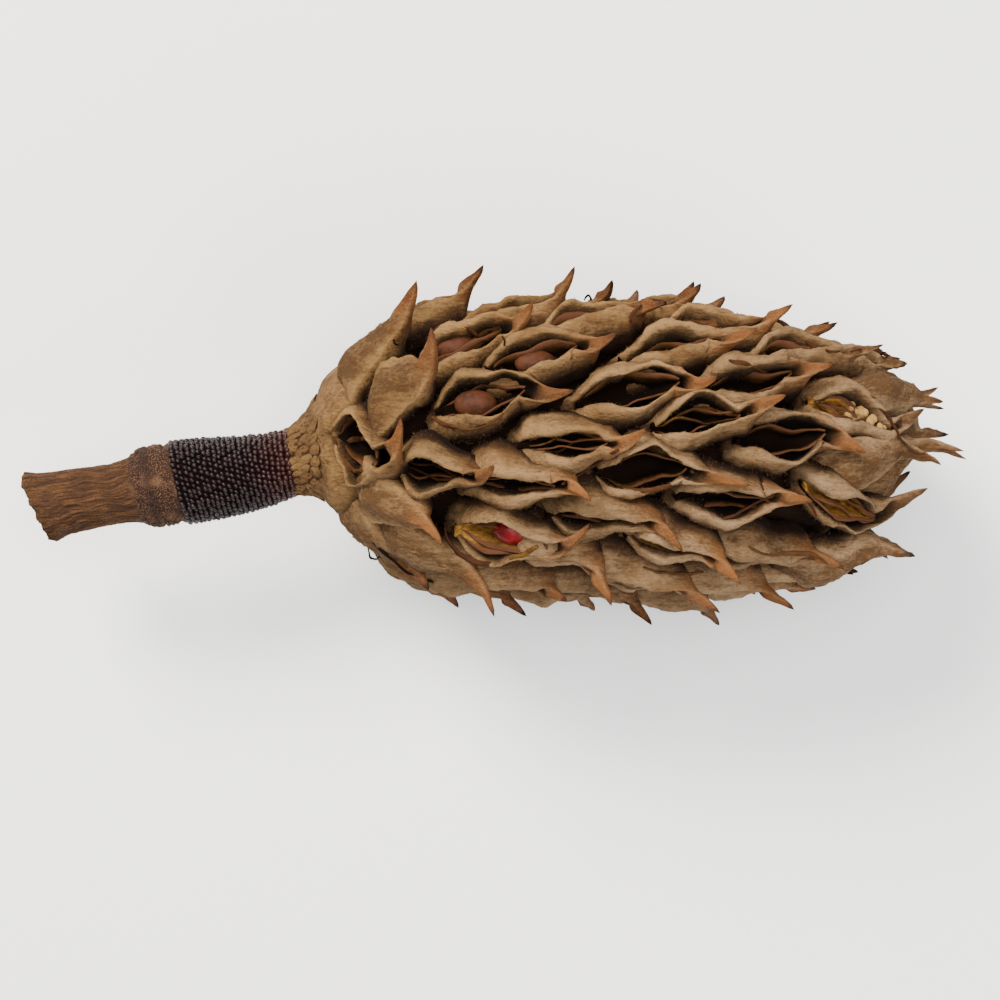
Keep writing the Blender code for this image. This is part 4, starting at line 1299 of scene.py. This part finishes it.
def crumb_material():
    """Pale yellow, mealy crumbs."""
    material, tree, shader = new_material("golden_crumb", 0.7, shine=0.2)
    mottle = use_group(
        tree,
        "Mottled surface",
        mottle_group,
        Light=linear(148, 114, 64),
        Dark=linear(112, 78, 38),
        Patch_scale=700.0,
        Grain_scale=2400.0,
        Lift=0.25,
    )
    link(tree, mottle.outputs["Colour"], shader.inputs["Base Color"])
    add_bump(tree, shader, mottle.outputs["Height"], 0.5, 0.0002)
    return material


def lining_material():
    """Thin papery skin, brown or golden inside, with a mauve-brown rim that is partly a painted highlight, and painted
    shade deep inside it.
    """
    colours = bpy.context.scene.pod_colours
    material, tree, shader = new_material("lining", 0.8, shine=0.05)
    mottle = use_group(
        tree,
        "Mottled surface",
        mottle_group,
        Light=colours.lining,
        Dark=colours.hollow,
        Patch_scale=420.0,
        Grain_scale=2400.0,
    )
    gold = use_group(
        tree,
        "Mottled surface",
        mottle_group,
        Light=colours.gold,
        Dark=linear(88, 56, 22),
        Patch_scale=500.0,
        Grain_scale=2000.0,
    )
    shown = mix_colours(tree, attribute(tree, "gold"), mottle.outputs["Colour"], gold.outputs["Colour"])
    height = attribute(tree, "rim")
    # painted shade deep in the lining, away from its rims, except on golden linings; the rim colour is partly the
    # edge's own colour and partly a painted highlight
    deep = maths(tree, "MULTIPLY", ramp(tree, height, 0.96, 0.66), ramp(tree, attribute(tree, "gold"), 0.9, 0.3))
    shown = mix_colours(tree, ramp(tree, height, 0.84, 0.97), shown, colours.lining_rim)
    shown = mix_colours(tree, deep, shown, colours.hollow)
    link(tree, shown, shader.inputs["Base Color"])
    add_bump(tree, shader, mottle.outputs["Height"], 0.5, 0.0002)
    return material


COLLAR_OUTLINE = [
    (-43.3 * MM, 5.4 * MM),
    (-40.0 * MM, 5.3 * MM),
    (-34.0 * MM, 4.85 * MM),
    (-27.6 * MM, 4.25 * MM),
]
BEAD_SEGMENTS = 8
BEAD_RINGS = 5


class POD_OT_collar(bpy.types.Operator):
    """Models one stamen scar as a bead and sets copies of it in spiral rows round the collar"""

    bl_idname = "pod.collar"
    bl_label = "Stamen-Scar Collar"

    def execute(self, context):
        size = context.scene.pod_sizes.bead_size
        base = turned_piece("collar_base", COLLAR_OUTLINE, 72, 40)
        x, r, angle = turned_places(base)
        set_turned(base, x, r - 0.12 * MM, angle)
        finish_piece(base, ground_material())
        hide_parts("stamen_collar")

        xs, rs = smooth_line(COLLAR_OUTLINE, 200)
        rows = int((xs[-1] - xs[0] - 0.5 * size) / (size * 0.9))
        spots = []
        draw = random.Random(RANDOM_START)
        around = 44
        for row in range(rows):
            place = xs[0] + size * 0.5 + row * (xs[-1] - xs[0] - size * 0.9) / (rows - 1)
            for step in range(around):
                turn = (step + 0.5 * (row % 2) + 0.12 * row) / around * math.tau
                spots.append((place + draw.uniform(-0.12, 0.12) * MM, turn + draw.uniform(-0.024, 0.024), draw.random()))
        beads, ring, segment = ball("collar_beads", BEAD_SEGMENTS, BEAD_RINGS)
        shape = coordinates(beads)
        repeat(beads, len(spots))
        points, tones, ends = [], [], []
        for place, turn, own in spots:
            radius = float(np.interp(place, xs, rs)) + 0.04 * MM
            stretch = size * (0.46 + 0.12 * own)
            high = size * (0.42 + 0.3 * own)
            local_x = place + shape[:, 0] * stretch * 1.02 + shape[:, 2] * 0.08 * size
            local_r = radius + shape[:, 2] * high
            local_turn = turn + shape[:, 1] * stretch / radius
            points.append(np.stack([local_x, local_r * np.sin(local_turn), local_r * np.cos(local_turn)], axis=-1))
            tones.append(np.full(len(shape), own))
            ends.append(np.full(len(shape), (place - xs[0]) / (xs[-1] - xs[0])))
        place_straight(beads, np.concatenate(points))
        add_attribute(beads, "own", np.concatenate(tones))
        add_attribute(beads, "towards_cone", np.concatenate(ends))
        finish_piece(beads, collar_material())
        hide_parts("stamen_collar")
        return {"FINISHED"}


def ground_material():
    """Dull dark skin between the scars."""
    material, tree, shader = new_material("collar_ground", 0.9, shine=0.04)
    place = node(tree, "ShaderNodeTexCoord").outputs["Object"]
    grain = noise_at(tree, place, 1800.0)
    shown = mix_colours(tree, grain, linear(6, 3, 3), linear(24, 12, 12))
    link(tree, shown, shader.inputs["Base Color"])
    add_bump(tree, shader, grain, 0.6, 0.0002)
    return material


def collar_material():
    """Dark purple-brown scars with a dull shine, redder towards the cone."""
    if bpy.data.materials.get("collar_scars"):
        return bpy.data.materials["collar_scars"]
    colours = bpy.context.scene.pod_colours
    material, tree, shader = new_material("collar_scars", 0.36, shine=0.22)
    own = attribute(tree, "own")
    shown = mix_colours(tree, own, linear(11, 5, 6), colours.collar)
    red = maths(tree, "MULTIPLY", ramp(tree, attribute(tree, "towards_cone"), 0.55, 1.0), 0.55)
    shown = mix_colours(tree, red, shown, linear(54, 22, 17))
    place = node(tree, "ShaderNodeTexCoord").outputs["Object"]
    grain = noise_at(tree, place, 4200.0)
    shown = mix_colours(tree, maths(tree, "MULTIPLY", grain, 0.25), shown, linear(27, 16, 16))
    link(tree, shown, shader.inputs["Base Color"])
    add_bump(tree, shader, grain, 0.5, 0.0001)
    return material


STALK_OUTLINE = [
    (-62.9 * MM, 4.2 * MM),
    (-62.2 * MM, 4.6 * MM),
    (-60.5 * MM, 4.3 * MM),
    (-56.0 * MM, 4.15 * MM),
    (-50.4 * MM, 4.2 * MM),
    (-49.2 * MM, 4.5 * MM),
    (-48.3 * MM, 5.15 * MM),
    (-46.8 * MM, 5.5 * MM),
    (-44.6 * MM, 5.45 * MM),
    (-43.2 * MM, 5.3 * MM),
]
CUT_SLANT = 0.3
CUT_SLANT_REACH = 8.0 * MM
RING_BAND = -46.9 * MM
RING_GROOVES = (-48.4 * MM, -46.3 * MM, -44.1 * MM)


class POD_OT_stalk(bpy.types.Operator):
    """Models the cut stalk with its lengthwise ribs and the swollen ring of petal scars"""

    bl_idname = "pod.stalk"
    bl_label = "Stalk"

    def execute(self, context):
        sizes = context.scene.pod_sizes
        piece = turned_piece("ribbed_stalk", STALK_OUTLINE, 200, 130)
        x, r, angle = turned_places(piece)
        wall = smooth_step(2.0 * MM, 3.5 * MM, r)
        bare = 1.0 - smooth_step(-49.9 * MM, -48.6 * MM, x)
        wave = angle + 0.05 * np.sin(x / (1.7 * MM)) + 0.04 * np.sin(x / (0.7 * MM) + angle * 3.0)
        ribs = self.noise_round(wave, x, 13.0, 110.0)
        fine = self.noise_round(wave, x, 26.0, 460.0)
        ribs = np.abs(ribs) ** 0.7 * np.sign(ribs)
        grains = self.noise_round(angle, x, 16.0, 3000.0)
        relief = bare * sizes.rib_height * (ribs * 0.55 + fine * 1.1)
        relief += (1.0 - bare) * 0.3 * MM * grains
        for place in RING_GROOVES:
            relief -= 0.22 * MM * np.exp(-(((x - place) / (0.28 * MM)) ** 2))
        ragged = self.noise_round(angle, x * 0.0, 5.0, 1.0) + 0.5 * fine
        cut = 1.0 - smooth_step(-62.8 * MM, -60.5 * MM, x)
        relief += cut * 0.3 * MM * ragged
        set_turned(piece, x - cut * wall * ragged * 0.35 * MM, r + relief * wall, angle)
        spots = coordinates(piece)
        end_x = STALK_OUTLINE[0][0]
        end_y = bend(np.array([end_x, 0.0, 0.0]))[1]
        share = np.clip(1.0 - (spots[:, 0] - end_x) / CUT_SLANT_REACH, 0.0, None)
        spots[:, 0] -= CUT_SLANT * (spots[:, 1] - end_y) * share
        set_coordinates(piece, spots)
        add_attribute(piece, "ring", 1.0 - bare)
        band = np.exp(-(((x - RING_BAND + 0.2 * MM * ragged) / (0.75 * MM)) ** 2))
        add_attribute(piece, "band", band)
        # share on the rib crests, which the bark finish uses for its painted highlight and shade
        add_attribute(piece, "rib", np.clip(0.5 + ribs * 0.6 + fine * 1.0, 0.0, 1.0))
        finish_piece(piece, stalk_material())
        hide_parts("stalk")
        return {"FINISHED"}

    def noise_round(self, angle, x, round_scale, long_scale):
        """Noise that closes on itself round the stalk, stretched along it."""
        spots = zip(np.sin(angle) * round_scale, np.cos(angle) * round_scale, x * long_scale)
        return np.array([noise.noise(Vector(spot)) for spot in spots])


def stalk_material():
    """Orange-brown fibrous bark, with a darker pale-speckled ring at the top."""
    colours = bpy.context.scene.pod_colours
    material, tree, shader = new_material("stalk_bark", 0.85, shine=0.2)
    place = node(tree, "ShaderNodeTexCoord").outputs["Object"]
    stretch = node(tree, "ShaderNodeMapping")
    stretch.inputs["Scale"].default_value = (0.16, 1.0, 1.0)
    link(tree, place, stretch.inputs["Vector"])
    fibres = noise_at(tree, stretch.outputs["Vector"], 2300.0, detail=4.0, roughness=0.7)
    shown = mix_colours(tree, ramp(tree, fibres, 0.3, 0.72), linear(44, 26, 14), colours.stalk)
    pale = ramp(tree, noise_at(tree, stretch.outputs["Vector"], 3100.0), 0.58, 0.75)
    shown = mix_colours(tree, maths(tree, "MULTIPLY", pale, 0.35), shown, linear(108, 80, 54))
    # painted shade in the rib grooves and painted highlight on the rib crests
    painted_groove_shade = maths(tree, "MULTIPLY", ramp(tree, attribute(tree, "rib"), 0.5, 0.05), 0.6)
    shown = mix_colours(tree, painted_groove_shade, shown, linear(34, 19, 11))
    crest = maths(tree, "MULTIPLY", ramp(tree, attribute(tree, "rib"), 0.6, 1.0), 0.45)
    shown = mix_colours(tree, crest, shown, linear(96, 64, 36))
    grit = use_group(
        tree, "Fine specks", speckle_group, Colour=shown, Speck=linear(30, 15, 8), Scale=3800.0, Amount=0.75
    )
    shown = grit.outputs["Colour"]
    specks = use_group(
        tree,
        "Fine specks",
        speckle_group,
        Colour=mix_colours(tree, noise_at(tree, place, 900.0), linear(26, 13, 8), colours.ring),
        Speck=linear(128, 94, 68),
        Scale=4600.0,
        Amount=0.85,
    )
    worn = ramp(tree, noise_at(tree, place, 260.0, detail=5.0), 0.5, 0.66)
    ring = mix_colours(tree, maths(tree, "MULTIPLY", worn, 0.5), specks.outputs["Colour"], linear(112, 80, 56))
    ring = mix_colours(tree, maths(tree, "MULTIPLY", attribute(tree, "band"), 0.65), ring, linear(30, 16, 9))
    worn = ramp(tree, noise_at(tree, place, 330.0, detail=5.0), 0.42, 0.68)
    shown = mix_colours(tree, maths(tree, "MULTIPLY", worn, 0.45), shown, linear(50, 30, 17))
    shown = mix_colours(tree, attribute(tree, "ring"), shown, ring)
    link(tree, shown, shader.inputs["Base Color"])
    height = maths(tree, "MULTIPLY_ADD", specks.outputs["Mask"], 0.7, fibres)
    add_bump(tree, shader, height, 0.8, 0.0003)
    return material


SEED_HALF_SIZES = (3.0 * MM, 2.0 * MM, 1.7 * MM)
SEEDS = [
    ("red_seed", 18, (2.4 * MM, 0.2 * MM, -1.9 * MM)),
    ("dried_seed_1", 21, (-1.4 * MM, 0.1 * MM, -2.3 * MM)),
    ("dried_seed_2", 16, (0.0 * MM, -0.1 * MM, -2.4 * MM)),
    ("dried_seed_3", 29, (0.3 * MM, 0.0 * MM, -2.3 * MM)),
]


class POD_OT_seeds(bpy.types.Operator):
    """Models the seeds that are still in their follicles"""

    bl_idname = "pod.seeds"
    bl_label = "Seeds"

    def execute(self, context):
        for name, number, (along, across, out) in SEEDS:
            facts = follicle_facts(number)
            point, forward, around, outwards = BODY.places(facts["seed_arc"] + along, facts["seed_angle"])
            r = max(float(BODY.radius(facts["seed_arc"])), SMALL_BODY_RADIUS / 2)
            middle = point + outwards * (out - across**2 / (2 * r)) + around * across
            piece, ring, segment = ball(f"{name}_coat", 40, 28)
            shape = coordinates(piece)
            long, wide, thick = SEED_HALF_SIZES
            points = middle + forward * (shape[:, 2:3] * long)
            points = points + around * (shape[:, 1:2] * wide) + outwards * (shape[:, 0:1] * thick)
            inward = (middle - points) * (0.03 + 0.05 * np.abs(uneven(points, 1.0, 1.5 * MM)[:, :1]))
            set_coordinates(piece, bend(points + inward))
            red = name == "red_seed"
            finish_piece(piece, seed_material(red))
            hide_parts(name)
        return {"FINISHED"}


def seed_material(red):
    """A waxy seed coat, fresh red or dried brown."""
    name = "red_coat" if red else "dried_coat"
    if bpy.data.materials.get(name):
        return bpy.data.materials[name]
    colours = bpy.context.scene.pod_colours
    material, tree, shader = new_material(name, 0.4 if red else 0.65, shine=0.35 if red else 0.12)
    place = node(tree, "ShaderNodeTexCoord").outputs["Object"]
    patches = ramp(tree, noise_at(tree, place, 520.0), 0.35, 0.7)
    if red:
        shown = mix_colours(tree, patches, colours.red_seed, linear(78, 3, 8))
    else:
        shown = mix_colours(tree, patches, colours.dried_seed, linear(46, 23, 13))
    link(tree, shown, shader.inputs["Base Color"])
    add_bump(tree, shader, noise_at(tree, place, 1500.0), 0.4, 0.0002)
    return material


class POD_OT_fuzz(bpy.types.Operator):
    """Sets short loose hairs over the felt, thickest on the lips"""

    bl_idname = "pod.fuzz"
    bl_label = "Felt Fuzz"

    def execute(self, context):
        sizes = context.scene.pod_sizes
        parts = [self.felt_triangles(name) for name in ("felted_follicles", "felted_follicles_far")]
        sides, turned, felted = (np.concatenate(values) for values in zip(*parts))
        area = np.linalg.norm(np.cross(sides[:, 1] - sides[:, 0], sides[:, 2] - sides[:, 0]), axis=1)
        chance = area * felted
        draw = np.random.default_rng(RANDOM_START)
        count = sizes.fuzz_count
        picks = draw.choice(len(sides), size=count, p=chance / chance.sum())
        share = draw.dirichlet((1.0, 1.0, 1.0), size=count)
        roots = np.einsum("ij,ijk->ik", share, sides[picks])
        way = np.einsum("ij,ijk->ik", share, turned[picks])
        way += draw.normal(0.0, 0.75, size=(count, 3))
        way /= np.linalg.norm(way, axis=1)[:, None]
        across = np.cross(way, draw.normal(size=(count, 3)))
        across /= np.linalg.norm(across, axis=1)[:, None]
        long = sizes.fuzz_length * draw.uniform(0.45, 1.1, size=(count, 1))

        start_piece()
        bpy.ops.mesh.primitive_circle_add(vertices=3, radius=1.0, fill_type="NGON")
        piece = context.object
        piece.name = "felt_fuzz"
        piece.data.name = "felt_fuzz"
        repeat(piece, count)
        half = 0.02 * MM
        hairs = np.stack([roots - across * half, roots + across * half, roots + way * long], axis=1)
        set_coordinates(piece, hairs.reshape(-1, 3))
        add_attribute(piece, "end", np.tile([0.0, 0.0, 1.0], count))
        finish_piece(piece, fuzz_material(), smooth=False)
        return {"FINISHED"}

    def felt_triangles(self, name):
        """Corners and normals of a felted piece's triangles, and how felted each one is."""
        mesh = bpy.data.objects[name].data
        mesh.calc_loop_triangles()
        spots = coordinates(bpy.data.objects[name])
        corners = np.empty(len(mesh.loop_triangles) * 3, dtype=np.int32)
        mesh.loop_triangles.foreach_get("vertices", corners)
        corners = corners.reshape(-1, 3)
        normals = np.empty(len(mesh.vertices) * 3)
        mesh.vertices.foreach_get("normal", normals)
        felted = np.ones(len(spots))
        for layer, share in (("beak", 3.0), ("hollow", 1.5), ("painted_crease_shade", 0.8)):
            values = np.empty(len(spots), dtype=np.float32)
            mesh.attributes[layer].data.foreach_get("value", values)
            felted -= values * share
        felted = np.clip(felted, 0.0, 1.0)[corners].mean(axis=1)
        return spots[corners], normals.reshape(-1, 3)[corners], felted


def fuzz_material():
    """Pale loose hairs of the felt."""
    colours = bpy.context.scene.pod_colours
    material, tree, shader = new_material("fuzz", 0.9, shine=0.2)
    place = node(tree, "ShaderNodeTexCoord").outputs["Object"]
    shown = mix_colours(tree, noise_at(tree, place, 800.0), colours.felt_dark, colours.felt_light)
    link(tree, shown, shader.inputs["Base Color"])
    return material


class POD_OT_stage(bpy.types.Operator):
    """Sets the floor, the soft studio lights and the camera straight over the pod"""

    bl_idname = "pod.stage"
    bl_label = "Stage"

    def execute(self, context):
        start_piece()
        bpy.ops.mesh.primitive_plane_add(size=6.0, location=(0.0, 0.0, -0.0002))
        floor = context.object
        floor.name = "floor"
        bpy.ops.object.transform_apply(location=True, rotation=True, scale=True)
        material, tree, shader = new_material("floor", 0.9, shine=0.2)
        shader.inputs["Base Color"].default_value = (*context.scene.pod_colours.floor, 1.0)
        floor.data.materials.append(material)
        floor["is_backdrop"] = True
        self.add_light("key", (-0.36, 0.46, 0.6), 0.34, 17.5, (1.0, 0.95, 0.88))
        self.add_light("fill", (0.5, -0.45, 0.55), 0.6, 7.5, (0.95, 0.97, 1.0))
        self.add_light("top", (0.05, 0.05, 1.1), 0.7, 14.5, (1.0, 0.99, 0.97))
        world = bpy.data.worlds.new("studio")
        world.use_nodes = True
        world.node_tree.nodes["Background"].inputs["Color"].default_value = (1.0, 1.0, 1.0, 1.0)
        world.node_tree.nodes["Background"].inputs["Strength"].default_value = 0.18
        context.scene.world = world
        self.add_camera(context)
        return {"FINISHED"}

    def add_light(self, name, place, size, power, tint):
        bpy.ops.object.light_add(type="AREA", location=place)
        light = bpy.context.object
        light.name = name
        light.data.size = size
        light.data.energy = power
        light.data.color = tint
        aim = Vector((0.0, 0.0, AXIS_HEIGHT)) - Vector(place)
        light.rotation_euler = aim.to_track_quat("-Z", "Y").to_euler()

    def add_camera(self, context):
        """Frames the pod as the photo does: one pixel is 0.138 mm at the height of its axis."""
        pixel = 0.138 * MM
        frame_width = 1000 * pixel
        over_axis = 0.46
        middle_x = (500 - 492) * pixel
        middle_y = (449 - 500) * pixel
        bpy.ops.object.camera_add(location=(middle_x, middle_y, AXIS_HEIGHT + over_axis), rotation=(0, 0, 0))
        camera = context.object
        camera.data.angle = 2 * math.atan(frame_width / 2 / over_axis)
        camera.data.clip_start = 0.01
        context.scene.camera = camera


class POD_PT_panel(bpy.types.Panel):
    """Lists the pod's pieces, sizes and colours"""

    bl_label = "Seed Pod"
    bl_idname = "POD_PT_panel"
    bl_space_type = "VIEW_3D"
    bl_region_type = "UI"
    bl_category = "Seed Pod"

    def draw(self, context):
        layout = self.layout
        for operator in OPERATORS:
            layout.operator(operator.bl_idname)
        for group in (context.scene.pod_sizes, context.scene.pod_colours):
            box = layout.box()
            for name in group.bl_rna.properties.keys():
                if name not in ("name", "rna_type"):
                    box.prop(group, name)


OPERATORS = (
    POD_OT_follicles,
    POD_OT_core,
    POD_OT_linings,
    POD_OT_ribbons,
    POD_OT_collar,
    POD_OT_stalk,
    POD_OT_seeds,
    POD_OT_fuzz,
    POD_OT_stage,
)
CLASSES = (PodSizes, PodColours, *OPERATORS, POD_PT_panel)


def register():
    for made in CLASSES:
        bpy.utils.register_class(made)
    bpy.types.Scene.pod_sizes = PointerProperty(type=PodSizes)
    bpy.types.Scene.pod_colours = PointerProperty(type=PodColours)


def unregister():
    del bpy.types.Scene.pod_colours
    del bpy.types.Scene.pod_sizes
    for made in reversed(CLASSES):
        bpy.utils.unregister_class(made)


def main():
    register()
    bpy.ops.pod.follicles()
    bpy.ops.pod.core()
    bpy.ops.pod.linings()
    bpy.ops.pod.ribbons()
    bpy.ops.pod.collar()
    bpy.ops.pod.stalk()
    bpy.ops.pod.seeds()
    bpy.ops.pod.fuzz()
    bpy.ops.pod.stage()


if __name__ == "__main__":
    main()
